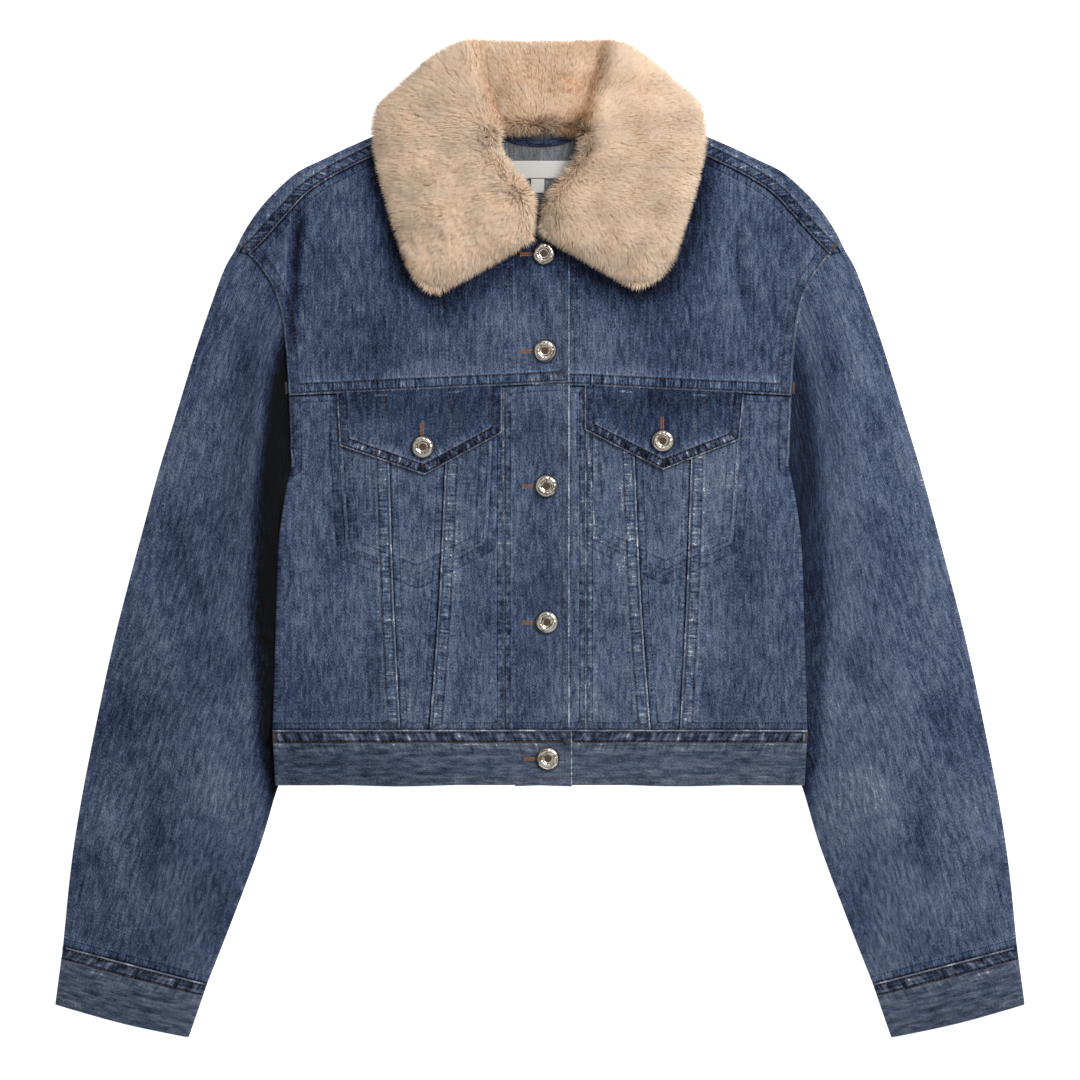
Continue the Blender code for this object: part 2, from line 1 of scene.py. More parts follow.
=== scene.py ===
# %% [markdown]
# # A cropped denim jacket with a fur collar
# The jacket lies on its back with its front buttoned. A frame of plain solids says where each
# piece of cloth is. This lesson sews the visible jacket around that frame: thin denim shells with
# raised seams and puckers, thread, metal buttons and a collar of separate hairs.
# Lengths are in millimetres until a mesh is made, because a tailor's sizes are. +X is the
# wearer's left, +Y runs from hem to collar and Z = 0 is the table.

# %% The frame
import json
import math

import bmesh
import bpy
import numpy as np
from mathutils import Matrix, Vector
from mathutils.bvhtree import BVHTree

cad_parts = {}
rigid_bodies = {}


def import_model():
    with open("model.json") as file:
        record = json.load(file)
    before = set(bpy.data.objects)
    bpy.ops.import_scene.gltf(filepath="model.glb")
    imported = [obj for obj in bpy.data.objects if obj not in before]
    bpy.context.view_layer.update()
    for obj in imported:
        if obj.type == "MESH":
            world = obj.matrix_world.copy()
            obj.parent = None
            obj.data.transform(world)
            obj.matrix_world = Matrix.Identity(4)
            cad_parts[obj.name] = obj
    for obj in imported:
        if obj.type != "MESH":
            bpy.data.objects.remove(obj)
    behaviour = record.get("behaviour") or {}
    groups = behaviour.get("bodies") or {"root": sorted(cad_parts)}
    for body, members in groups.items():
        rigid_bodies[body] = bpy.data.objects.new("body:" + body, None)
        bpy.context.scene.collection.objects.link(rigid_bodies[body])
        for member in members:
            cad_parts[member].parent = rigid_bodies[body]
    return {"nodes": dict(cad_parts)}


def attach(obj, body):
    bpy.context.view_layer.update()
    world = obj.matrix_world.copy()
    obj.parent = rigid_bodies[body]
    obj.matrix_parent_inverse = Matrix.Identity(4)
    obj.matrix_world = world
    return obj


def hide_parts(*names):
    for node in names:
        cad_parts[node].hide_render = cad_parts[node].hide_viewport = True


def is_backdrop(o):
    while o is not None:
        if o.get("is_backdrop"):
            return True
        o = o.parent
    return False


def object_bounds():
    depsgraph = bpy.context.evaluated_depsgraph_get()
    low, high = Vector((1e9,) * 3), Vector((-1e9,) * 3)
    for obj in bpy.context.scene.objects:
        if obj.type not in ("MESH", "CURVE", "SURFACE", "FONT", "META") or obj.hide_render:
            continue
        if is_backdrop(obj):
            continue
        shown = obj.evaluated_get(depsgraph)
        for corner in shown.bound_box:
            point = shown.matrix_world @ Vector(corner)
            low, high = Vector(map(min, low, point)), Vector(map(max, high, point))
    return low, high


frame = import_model()
cad_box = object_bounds()
MM = 0.001
RIGHT, LEFT = -1, 1
SIDE_NAMES = {RIGHT: "right", LEFT: "left"}
print("frame:", len(frame["nodes"]), "nodes, box", [round(v, 3) for corner in cad_box for v in corner])

# %% [markdown]
# ## Camera, table and light
# The jacket is seen from straight above with a long lens, so its outline stays true. One large
# soft lamp stands high at the upper right, and a pale room fills the shadows. The table is a
# lit white panel, as in a shop's studio, so the jacket's own shadow on it stays faint.

# %% Camera, table and light
VIEW_WIDTH = 864.0
LENS = 200.0
SENSOR = 36.0
camera_data = bpy.data.cameras.new("studio_camera")
camera_data.lens = LENS
camera_data.sensor_width = SENSOR
camera_data.clip_end = 100
camera = bpy.data.objects.new("studio_camera", camera_data)
camera.location = (0, -0.0004, VIEW_WIDTH * LENS / SENSOR * MM)
bpy.context.scene.collection.objects.link(camera)
bpy.context.scene.camera = camera

KEY_PLACE = Vector((1.25, 1.35, 1.9))
KEY_SIZE = 1.0
KEY_WATTS = 60.0
lamp_data = bpy.data.lights.new("key", "AREA")
lamp_data.size = KEY_SIZE
lamp_data.energy = KEY_WATTS
lamp = bpy.data.objects.new("key", lamp_data)
lamp.location = KEY_PLACE
lamp.rotation_euler = (-KEY_PLACE).to_track_quat("-Z", "Y").to_euler()
bpy.context.scene.collection.objects.link(lamp)

ROOM_STRENGTH = 0.54
world = bpy.data.worlds.new("studio")
bpy.context.scene.world = world
world.use_nodes = True
world.node_tree.nodes["Background"].inputs["Color"].default_value = (1, 1, 1, 1)
world.node_tree.nodes["Background"].inputs["Strength"].default_value = ROOM_STRENGTH
bpy.context.scene.view_settings.view_transform = "Standard"
print("camera height", round(camera.location.z, 2), "m")


# %% [markdown]
# ## Small helpers
# A table keeps named columns. A node is added with its settings and links in one call. Colours
# are written as sRGB hex values, which one function turns into the linear values a shader takes.


# %% Helpers for tables, colours and nodes
def table(columns, *rows):
    """Named columns, with a row for each point or fold."""
    return dict(zip(columns.split(), np.array(rows, float).T))


def points(named):
    return np.stack([named["x"], named["y"]], axis=1)


def smooth(share):
    """0 to 1 with level ends."""
    share = np.clip(share, 0, 1)
    return share * share * (3 - 2 * share)


def linear(hex_colour):
    channels = [int(hex_colour[i : i + 2], 16) / 255 for i in (0, 2, 4)]
    return [c / 12.92 if c <= 0.04045 else ((c + 0.055) / 1.055) ** 2.4 for c in channels] + [1]


def add_node(tree, kind, inputs=None, **settings):
    """Adds a node. Inputs are values or sockets, by name or number."""
    made = tree.nodes.new(kind)
    for name, value in settings.items():
        setattr(made, name, value)
    for key, value in (inputs or {}).items():
        if isinstance(value, bpy.types.NodeSocket):
            tree.links.new(value, made.inputs[key])
        else:
            made.inputs[key].default_value = value
    return made


def new_material(name):
    made = bpy.data.materials.new(name)
    made.use_nodes = True
    return made, made.node_tree, made.node_tree.nodes["Principled BSDF"]


def total(tree, *terms):
    """The sum of (socket, weight) pairs and plain numbers."""
    running = 0.0
    for term in terms:
        if isinstance(term, tuple):
            term = add_node(tree, "ShaderNodeMath", {0: term[0], 1: term[1]}, operation="MULTIPLY").outputs[0]
        running = add_node(tree, "ShaderNodeMath", {0: running, 1: term}, operation="ADD").outputs[0]
    return running


floor_look, _, floor_shader = new_material("studio_panel")
floor_shader.inputs["Base Color"].default_value = linear("F4F4F4")
floor_shader.inputs["Roughness"].default_value = 0.9
floor_shader.inputs["Emission Color"].default_value = (1, 1, 1, 1)
floor_shader.inputs["Emission Strength"].default_value = 0.8
bpy.ops.mesh.primitive_plane_add(size=12, location=(0, 0, -0.0005))
floor = bpy.context.object
floor.name = "studio_panel"
floor.data.materials.append(floor_look)
floor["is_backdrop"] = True
print("table made")

# %% [markdown]
# ## Denim
# Denim is a cotton twill: indigo warp threads over white weft. The warp is dyed only on its
# surface, so washing and rubbing bring out pale cotton. That gives five scales of pattern, which
# are all drawn along the grain of each piece, read from its own UV map in millimetres:
# clouds of fading a hand wide, long streaks from uneven yarn, crinkles, short flecks, and the
# twill's diagonal. The real twill is 0.9 mm apart, too fine to show, so it is drawn at 1.7 mm.
# Seams fade in a way of their own. Their folded edge wears to a white line, and the cloth between
# two rows of stitches shrinks into puckers, pale on top and dark between. Each point of a piece
# carries how far it is along and across its nearest seam, and the marks are drawn from that.

# %% Washed denim
TWILL_MM = 1.7
TWILL_TURN = 58
FLECK_MM = (1.15, 1.9)
STREAK_MM = (2.2, 34.0)
CLOUD_MM = 70.0
CRINKLE_MM = (3.2, 12.0)
BAND_UNITS = 10.0


def grain_noise(tree, grain, size, detail=2.0, roughness=0.55, seed=0.0):
    """Noise whose grains are size[0] mm across and size[1] mm along the warp, from -1 to 1."""
    scale = (1 / size[0], 1 / size[1], 1)
    place = add_node(tree, "ShaderNodeMapping", {"Vector": grain, "Scale": scale, "Location": (0, 0, seed)})
    kind = {"Vector": place.outputs[0], "Scale": 1.0, "Detail": detail, "Roughness": roughness}
    noise = add_node(tree, "ShaderNodeTexNoise", kind).outputs["Fac"]
    centred = {"Value": noise, "From Min": 0.25, "From Max": 0.75, "To Min": -1.0, "To Max": 1.0}
    return add_node(tree, "ShaderNodeMapRange", centred, clamp=False).outputs[0]


def step(tree, value, start, end, low=0.0, high=1.0):
    limits = {"Value": value, "From Min": start, "From Max": end, "To Min": low, "To Max": high}
    return add_node(tree, "ShaderNodeMapRange", limits, interpolation_type="SMOOTHSTEP").outputs[0]


def times(tree, *factors):
    running = factors[0]
    for factor in factors[1:]:
        running = add_node(tree, "ShaderNodeMath", {0: running, 1: factor}, operation="MULTIPLY").outputs[0]
    return running


def wave_scale(millimetres):
    """The scale at which a wave texture repeats after this many units."""
    return 2 * math.pi / millimetres / 20


def seam_marks(tree, attribute, pucker):
    """(paleness, height) of a seam's marks. The attribute holds along, across and edge wear, which is
    negative for a dark line of dye and painted shadow.
    """
    place = add_node(tree, "ShaderNodeAttribute", attribute_name=attribute)
    split = add_node(tree, "ShaderNodeSeparateXYZ", {0: place.outputs["Vector"]})
    along, across, wear = split.outputs
    flat = add_node(tree, "ShaderNodeCombineXYZ", {0: along, 1: times(tree, across, 0.13), 2: 0.0}).outputs[0]
    uneven = grain_noise(tree, flat, (1.9, 1.0), 1.0, seed=3.0)
    ticks = grain_noise(tree, flat, (0.62, 1.6), 1.0)
    patchy = total(tree, 0.75, (uneven, 0.45))
    # A positive edge value draws the worn white line; a negative one, a dark line of dye and painted shadow.
    edge = times(tree, step(tree, across, 0.5, 1.9, 1.0, 0.0), wear, patchy)
    between = times(tree, step(tree, across, 1.0, 2.6), step(tree, across, 8.2, 9.8, 1.0, 0.0))
    crimp = times(tree, between, pucker, ticks)
    rows = []
    for row in (1.9, 8.4):
        away = add_node(tree, "ShaderNodeMath", {0: across, 1: row}, operation="SUBTRACT").outputs[0]
        away = add_node(tree, "ShaderNodeMath", {0: away}, operation="ABSOLUTE").outputs[0]
        rows.append(times(tree, step(tree, away, 0.3, 0.95, 1.0, 0.0), pucker))
    fringe_noise = grain_noise(tree, flat, (0.4, 2.5), 1.0, seed=8.0)
    fringe_reach = times(tree, step(tree, across, 9.6, 10.6), step(tree, across, 11.0, 21.0, 1.0, 0.0))
    fringe = times(tree, fringe_reach, pucker, total(tree, 0.35, (fringe_noise, 0.65)))
    far_line = times(tree, step(tree, across, 9.0, 9.8), step(tree, across, 10.2, 11.4, 1.0, 0.0))
    far_edge = times(tree, far_line, pucker, patchy)
    pale = total(
        tree,
        (edge, 0.62),
        (crimp, 0.24),
        (rows[0], -0.2),
        (rows[1], -0.2),
        (far_edge, 0.12),
        (fringe, 0.16),
    )
    height = total(tree, (crimp, 0.42), (rows[0], -0.3), (rows[1], -0.3), (fringe, 0.12))
    return pale, height


def denim(name, colours, base, grain_depth=1.0, wrinkle=1.0):
    """Colours run from the near-black of deep painted shade through unwashed indigo to bare cotton, and base
    is where the cloth stands between.
    """
    look, tree, shader = new_material(name)
    grain = add_node(tree, "ShaderNodeUVMap", uv_map="grain").outputs[0]
    # The tone attribute holds each piece's fading together with its painted shade, shadow, highlights and
    # light.
    tone = add_node(tree, "ShaderNodeAttribute", attribute_name="tone").outputs["Fac"]
    pucker = add_node(tree, "ShaderNodeAttribute", attribute_name="pucker").outputs["Fac"]
    cloud = grain_noise(tree, grain, (CLOUD_MM, CLOUD_MM * 1.5), 3.0, seed=1.0)
    streak = grain_noise(tree, grain, STREAK_MM, 3.0, 0.6, seed=2.0)
    fleck = grain_noise(tree, grain, FLECK_MM, 2.0, 0.6, seed=4.0)
    crinkle = grain_noise(tree, grain, CRINKLE_MM, 2.0, 0.5, seed=5.0)
    slant = (0, 0, math.radians(-TWILL_TURN))
    turned = add_node(tree, "ShaderNodeMapping", {"Vector": grain, "Rotation": slant})
    ribs = {"Vector": turned.outputs[0], "Scale": wave_scale(TWILL_MM), "Distortion": 1.2}
    twill = add_node(tree, "ShaderNodeTexWave", ribs).outputs["Fac"]
    seam_pale, seam_height = seam_marks(tree, "seam", pucker)
    line_pale, line_height = seam_marks(tree, "line", 0.5)
    cotton = total(
        tree,
        base,
        (tone, 1.0),
        (cloud, 0.14),
        (streak, 0.11 * wrinkle),
        (fleck, 0.22 * grain_depth),
        (crinkle, 0.16 * wrinkle),
        (twill, 0.1),
        seam_pale,
        line_pale,
    )
    ramp = add_node(tree, "ShaderNodeValToRGB", {0: cotton})
    stops = ramp.color_ramp.elements
    stops[0].color = linear(colours[0])
    stops[1].color = linear(colours[-1])
    for place, colour in zip((0.24, 0.46, 0.66, 0.86), colours[1:-1]):
        stops.new(place).color = linear(colour)
    woven = total(tree, (crinkle, 0.42), (fleck, 0.2 * grain_depth), (streak, 0.06), (twill, 0.08))
    relief = total(tree, woven, seam_height, line_height)
    bump = add_node(tree, "ShaderNodeBump", {"Height": relief, "Distance": MM, "Strength": 1.0})
    tree.links.new(ramp.outputs[0], shader.inputs["Base Color"])
    tree.links.new(bump.outputs[0], shader.inputs["Normal"])
    shader.inputs["Roughness"].default_value = 0.88
    shader.inputs["Specular IOR Level"].default_value = 0.15
    shader.inputs["Sheen Weight"].default_value = 0.03
    shader.inputs["Sheen Roughness"].default_value = 0.5
    return look


# Each ramp's first stop is near black, reached only where painted shade or shadow is added to the tone.
INDIGO = ("020307", "19233C", "36435C", "56637A", "6D7889", "BFC3C6")
washed_denim = denim("washed_indigo_denim", INDIGO, 0.432)
dark_denim = denim("dark_indigo_denim", INDIGO, 0.365)
FADED_INDIGO = ("04050A", "1E293D", "3B4659", "586073", "6E7685", "BFC2C6")
band_denim = denim("faded_band_denim", FADED_INDIGO, 0.435, 0.65, 1.1)
COTTON_WEFT = ("161B28", "44484F", "5C5E60", "70737A", "858789", "B0B0AE")
denim_back = denim("denim_wrong_side", COTTON_WEFT, 0.5)
denim_back.node_tree.nodes["Principled BSDF"].inputs["Roughness"].default_value = 0.92
print("denim materials:", washed_denim.name, dark_denim.name, denim_back.name)

# %% [markdown]
# ## Lines and patches
# A pattern piece is a patch between four edges. Each edge is a smooth line through a few points.
# Rows and columns crowd together by the seams, where a folded edge turns over in one millimetre,
# and spread out in the middle of a panel.


# %% Lines and patches
LINE_STEPS = 8


def through(places, steps=LINE_STEPS):
    """A smooth line through the points."""
    p = np.array(places, float)
    p = np.concatenate([[2 * p[0] - p[1]], p, [2 * p[-1] - p[-2]]])
    t = np.linspace(0, 1, steps, endpoint=False)[:, None]
    spans = [
        0.5 * (2 * b + (c - a) * t + (2 * a - 5 * b + 4 * c - d) * t**2 + (3 * b - a - 3 * c + d) * t**3)
        for a, b, c, d in zip(p, p[1:], p[2:], p[3:])
    ]
    return np.concatenate([*spans, p[-2:-1]])


def lengths(line):
    return np.concatenate([[0], np.cumsum(np.linalg.norm(np.diff(line, axis=0), axis=1))])


def at_shares(line, shares):
    """The points at these shares of the line's length."""
    along = lengths(line)
    return np.stack([np.interp(np.array(shares) * along[-1], along, axis) for axis in line.T], axis=1)


SEAM_STEPS = (0.7, 1.5, 2.6)
FOLD_STEPS = (4.4,)


def graded(length, spacing, first=SEAM_STEPS, last=SEAM_STEPS):
    """Shares of a length, crowded at the ends."""
    starts, ends = np.array(first), length - np.array(last)[::-1]
    middle = np.linspace(starts[-1], ends[0], max(2, round((ends[0] - starts[-1]) / spacing) + 1))
    return np.concatenate([[0], starts[:-1], middle, ends[1:], [length]]) / length


def patch(bottom, top, left, right, u, v):
    """Plan points between four edges: a row for each share in v and a column for each in u."""
    b, t = at_shares(bottom, u)[None], at_shares(top, u)[None]
    left_line, right_line = at_shares(left, v)[:, None], at_shares(right, v)[:, None]
    u, v = np.array(u)[None, :, None], np.array(v)[:, None, None]
    corners = (1 - v) * ((1 - u) * b[:, :1] + u * b[:, -1:]) + v * ((1 - u) * t[:, :1] + u * t[:, -1:])
    return (1 - v) * b + v * t + (1 - u) * left_line + u * right_line - corners


def distance(x, y, path):
    """(distance along the path, distance from it) of each point."""
    place = np.stack([x, y], axis=-1)
    best, along_best = np.full(x.shape, np.inf), np.zeros(x.shape)
    for a, b, start in zip(path, path[1:], lengths(path)):
        run = b - a
        size = max(float(run @ run), 1e-9)
        share = np.clip(((place - a) @ run) / size, 0, 1)
        away = np.linalg.norm(place - a - share[..., None] * run, axis=-1)
        nearer = away < best
        best = np.where(nearer, away, best)
        along_best = np.where(nearer, start + share * math.sqrt(size), along_best)
    return along_best, best


square_edges = ([(0, 0), (9, 0)], [(0, 9), (9, 9)], [(0, 0), (0, 9)], [(9, 0), (9, 9)])
square = [np.array(edge, float) for edge in square_edges]
print("middle of a square patch's top edge:", patch(*square, [0, 0.5, 1], [0, 1])[1, 1])

# %% [markdown]
# ## Layers of cloth
# A layer is a grid of points with what each knows about itself: its place, its place in the grain,
# where it is beside its seam, how worn it is, how much painted shade or light it takes. Folding a
# layer's edge bends its first column round to the middle of the laid garment, where the lower layer's edge
# meets it.

# %% Layers of cloth
CHANNELS = "x y z u v along across edge line_s line_d line_e pucker tone rise".split()
C = {name: index for index, name in enumerate(CHANNELS)}
FLAT = 5.8
FOLD_RADIUS = FLAT / 2
FOLD_ANGLES = tuple(range(0, 91, 15))
SPLIT_ANGLES = (12, 25, 38, 51, 64, 77, 90)
DENIM_WALL = 1.2
FAR = 99.0


def layer(plan, z, grain=None, tone=0.0):
    """A grid from plan points, with Z from a height or a function. Grain is (u, v) in millimetres."""
    grid = np.zeros((*plan.shape[:2], len(CHANNELS)))
    x, y = plan[..., 0], plan[..., 1]
    grid[..., :2] = plan
    grid[..., C["z"]] = z(x, y) if callable(z) else z
    grid[..., C["u"]], grid[..., C["v"]] = (x, y) if grain is None else grain
    grid[..., C["across"]] = grid[..., C["line_d"]] = FAR
    grid[..., C["tone"]] = tone(x, y) if callable(tone) else tone
    return grid


def folded(grid, up, weight=1.0, angles=FOLD_ANGLES, radius=FOLD_RADIUS):
    """The grid with its first column bent round. up is 1 on an upper layer and -1 on a lower one."""
    edge, inwards = grid[:, 0], grid[:, 1, :2] - grid[:, 0, :2]
    inwards = inwards / np.linalg.norm(inwards, axis=1, keepdims=True)
    inwards = inwards * np.broadcast_to(weight, len(edge))[:, None]
    columns = []
    for angle in np.radians(angles):
        column = edge.copy()
        column[:, :2] += inwards * radius * (1 - math.cos(angle))
        column[:, 2] -= up * weight * radius * (1 - math.sin(angle))
        columns.append(column)
    return np.concatenate([np.stack(columns, axis=1), grid[:, 1:]], axis=1)


def folded_far(grid, up, **how):
    return folded(grid[:, ::-1], up, **how)[:, ::-1]


def faces_of(grid, up, start):
    """Quads between the grid's points, facing up, or down where up is -1."""
    rows, columns = grid.shape[:2]
    index = start + np.arange(rows * columns).reshape(rows, columns)
    quads = np.stack([index[:-1, :-1], index[:-1, 1:], index[1:, 1:], index[1:, :-1]], axis=-1)
    first = grid[1:, 1:, :2] - grid[:-1, :-1, :2]
    second = grid[1:, :-1, :2] - grid[:-1, 1:, :2]
    facing = float((first[..., 0] * second[..., 1] - first[..., 1] * second[..., 0]).sum())
    quads = quads.reshape(-1, 4)
    return quads if facing * up > 0 else quads[:, ::-1]


def mesh_of(name, layers):
    """One mesh from layers, welded where they meet, with its grain and seam values on it."""
    corners, quads, start = [], [], 0
    for grid, up in layers:
        quads.append(faces_of(grid, up, start))
        corners.append(grid.reshape(-1, len(CHANNELS)))
        start += len(corners[-1])
    data, quads = np.concatenate(corners), np.concatenate(quads)
    mesh = bpy.data.meshes.new(name)
    mesh.from_pydata((data[:, :3] * MM).tolist(), [], quads.tolist())
    marks = {"seam": ("along", "across", "edge"), "line": ("line_s", "line_d", "line_e")}
    for attribute, columns in marks.items():
        made = mesh.attributes.new(attribute, "FLOAT_VECTOR", "POINT")
        made.data.foreach_set("vector", data[:, [C[c] for c in columns]].astype(np.float32).ravel())
    for attribute in ("pucker", "tone"):
        made = mesh.attributes.new(attribute, "FLOAT", "POINT")
        made.data.foreach_set("value", data[:, C[attribute]].astype(np.float32))
    uv = mesh.uv_layers.new(name="grain")
    uv.data.foreach_set("uv", data[quads.ravel()][:, [C["u"], C["v"]]].astype(np.float32).ravel())
    bm = bmesh.new()
    bm.from_mesh(mesh)
    bmesh.ops.remove_doubles(bm, verts=bm.verts, dist=0.01 * MM)
    bm.to_mesh(mesh)
    bm.free()
    mesh.shade_smooth()
    return mesh


pieces = {}


def show(name, mesh, looks):
    obj = bpy.data.objects.new(name, mesh)
    bpy.context.scene.collection.objects.link(obj)
    for look in looks:
        mesh.materials.append(look)
    pieces[name] = obj
    return obj


def cloth(name, layers, look=washed_denim, wall=DENIM_WALL, back=denim_back):
    """A wall of cloth inside its outer layers, with the reverse of the cloth on the inner face."""
    obj = show(f"{name}_cloth", mesh_of(name, layers), (look, back))
    solid = obj.modifiers.new("Wall", "SOLIDIFY")
    solid.thickness = wall * MM
    solid.offset = -1
    solid.material_offset = 1
    return obj


print("layer channels:", ", ".join(CHANNELS))

# %% [markdown]
# ## Seams
# A felled seam folds one panel over the other and sews it down twice, so it is a raised band with
# a worn edge. Each kind of seam here is a row of a table: the band's width, how far it stands up,
# how white or dark its edge is, how strongly it puckers, how long a pucker is and how far the
# puckers lean. Under an upper panel's edge the lower panel takes a dark line, partly unfaded dye
# and partly painted shadow of the edge above, and frays into light streaks.

# %% Seams
SEAM_KINDS = {
    name: dict(zip("width rise edge pucker period lean tone".split(), values))
    for name, values in {
        "yoke": (10.2, 1.7, 0.5, 1.3, 2.6, 0.0, 0.0),
        "strip": (11.2, 1.6, 0.4, 1.0, 3.2, 0.0, 0.085),
        "shoulder": (9.6, 1.4, 0.6, 1.5, 4.6, 0.8, -0.06),
        "armhole": (9.8, 1.2, 0.42, 0.6, 9.0, 0.0, -0.02),
        "waist": (11.0, 1.9, 0.75, 1.8, 8.0, 0.35, -0.04),
        "hem": (8.4, 0.8, 0.95, 2.2, 5.6, 0.0, -0.015),
        "flap_side": (8.6, 0.6, 0.85, 0.7, 6.0, 0.0, 0.0),
        "placket": (7.0, 0.3, 0.85, 0.3, 7.0, 0.0, 0.0),
        "placket_seam": (6.0, 0.5, 0.6, 0.9, 6.0, 0.0, 0.02),
        # The under seam's negative edge paints a dark line: partly unfaded dye, partly painted shadow.
        "under": (7.0, 0.0, -1.2, 0.55, 3.0, 0.0, 0.0),
        "sleeve_head": (5.0, 0.0, 0.85, 0.15, 5.0, 0.0, 0.0),
        "turned": (6.0, 0.0, 0.25, 0.2, 8.0, 0.0, 0.0),
    }.items()
}
EDGE_ROLL = 0.5
EDGE_ROLL_OVER = 1.1
BAND_SOFTNESS = 1.3


def sew(grid, kind, path):
    """Marks a seam of this kind along the path, and raises its band."""
    seam = SEAM_KINDS[kind]
    along, away = distance(grid[..., 0], grid[..., 1], np.array(path))
    across = away / seam["width"] * BAND_UNITS
    band = 1 - smooth((away - seam["width"] + BAND_SOFTNESS) / (2 * BAND_SOFTNESS))
    roll = EDGE_ROLL * np.clip(1 - away / EDGE_ROLL_OVER, 0, 1) ** 2 if seam["rise"] else 0
    more = np.maximum(band * seam["rise"] - grid[..., C["rise"]], 0)
    grid[..., C["rise"]] += more
    grid[..., C["z"]] += more - roll
    grid[..., C["tone"]] += band * seam["tone"]
    nearest = across < grid[..., C["across"]]
    values = ((along + seam["lean"] * away) / seam["period"], across, seam["edge"], seam["pucker"])
    for name, value in zip(("along", "across", "edge", "pucker"), values):
        grid[..., C[name]] = np.where(nearest, value, grid[..., C[name]])
    return grid


print("kinds of seam:", ", ".join(SEAM_KINDS))

# %% [markdown]
# ## The shape of the jacket
# These tables repeat the sizes that the frame was cut to. X is the distance from the centre line,
# so one table serves both sides of the jacket.

# %% Outlines
ARMHOLE = table(
    "x y",
    (244, 231),
    (238, 230),
    (232, 227.6),
    (222, 216),
    (212.5, 200),
    (206.5, 180),
    (203.5, 158),
    (201.8, 136),
    (200.5, 115),
    (199.8, 100),
    (199.4, 86),
    (199, 72),
    (199, 59),
)
SHOULDER_SEAM_ROW = 2
BACK_YOKE_ROW = 6
FRONT_YOKE_ROW = 8
UNDERARM_ROW = 12
SIDE_EDGE = table("x y", (202.8, 42), (206.8, 15), (209, -5), (210.6, -50), (212, -100), (213.6, -152.5))
HEM_HALF_WIDTH = 211.4
BAND_MIDDLE = (212.5, -175.0)
WAIST_Y = -152.5
HEM_Y = -196.4
SHOULDER_FOLD = table(
    "x y",
    (244, 231),
    (236.5, 246),
    (226, 262),
    (212, 278),
    (193.6, 294),
    (174.4, 303.6),
    (154.4, 313.2),
    (125, 326),
    (96, 339),
)
SHOULDER_SEAM = table(
    "x y",
    (232, 227.6),
    (224, 235.5),
    (213, 247.5),
    (200, 262),
    (185.6, 277),
    (166, 290),
    (144, 301.2),
    (117, 313.5),
    (89, 326),
)
NECK_HALF_WIDTH = 96
NECK_BACK_Y = 325
NECK_RISE = 14
FRONT_NECK = table("x y", (0, 240), (20, 243), (48, 260), (72, 290), (89, 326))
BACK_YOKE_Y = 158
LAP = {RIGHT: 23.5, LEFT: 20}
BAND_LAP = {RIGHT: 25.6, LEFT: 20}
PLACKET_SEAM = {RIGHT: 29, LEFT: 36.8}
YOKE_SEAM_SIDE_Y = 115
YOKE_SEAM_PLACKET_Y = 122.8
YOKE_SEAM_EDGE_Y = {RIGHT: 125.5, LEFT: 124}
LAP_RAMP = 24
LAP_FLAT_FROM = 22
LAP_RISE = 1.5
INNER_V_SEAM = table("x y", (73, 123), (75.8, 62), (80.8, -48), (88.4, -152.5))
OUTER_V_SEAM = table("x y", (122.3, 119), (120.4, 62), (116.8, -48), (111.6, -152.5))
SIDE_LIFT = 6.2
LIFT_FROM_X = 140
LIFT_OVER_X = 45
LIFT_BELOW_Y = 55
LIFT_OVER_Y = 40
UNDERLAP = 2.2

armhole = through(points(ARMHOLE))
body_edge = through(np.concatenate([points(ARMHOLE), points(SIDE_EDGE)]))
shoulder_fold = through(points(SHOULDER_FOLD))
shoulder_seam = through(points(SHOULDER_SEAM))
inner_v_seam = through(points(INNER_V_SEAM))
outer_v_seam = through(points(OUTER_V_SEAM))


def x_on(line, y):
    """X at height Y on a line that runs downwards."""
    return np.interp(y, line[::-1, 1], line[::-1, 0])


def neck_y(x):
    return NECK_BACK_Y + NECK_RISE * (np.abs(x) / NECK_HALF_WIDTH) ** 2


def yoke_seam_y(x, side):
    """The seam under a front yoke, X measured outwards from the centre line."""
    heights = (YOKE_SEAM_EDGE_Y[side], YOKE_SEAM_PLACKET_Y, YOKE_SEAM_SIDE_Y)
    return np.interp(x, (-LAP[side], PLACKET_SEAM[side], ARMHOLE["x"][FRONT_YOKE_ROW]), heights)


def lift(x, y):
    """How far the body is raised where a sleeve passes under its side."""
    sideways = smooth((np.abs(x) - LIFT_FROM_X) / LIFT_OVER_X)
    return SIDE_LIFT * sideways * smooth((LIFT_BELOW_Y - y) / LIFT_OVER_Y)


print("outline widths: shoulders", 2 * ARMHOLE["x"][0], "hem", 2 * HEM_HALF_WIDTH, "mm")
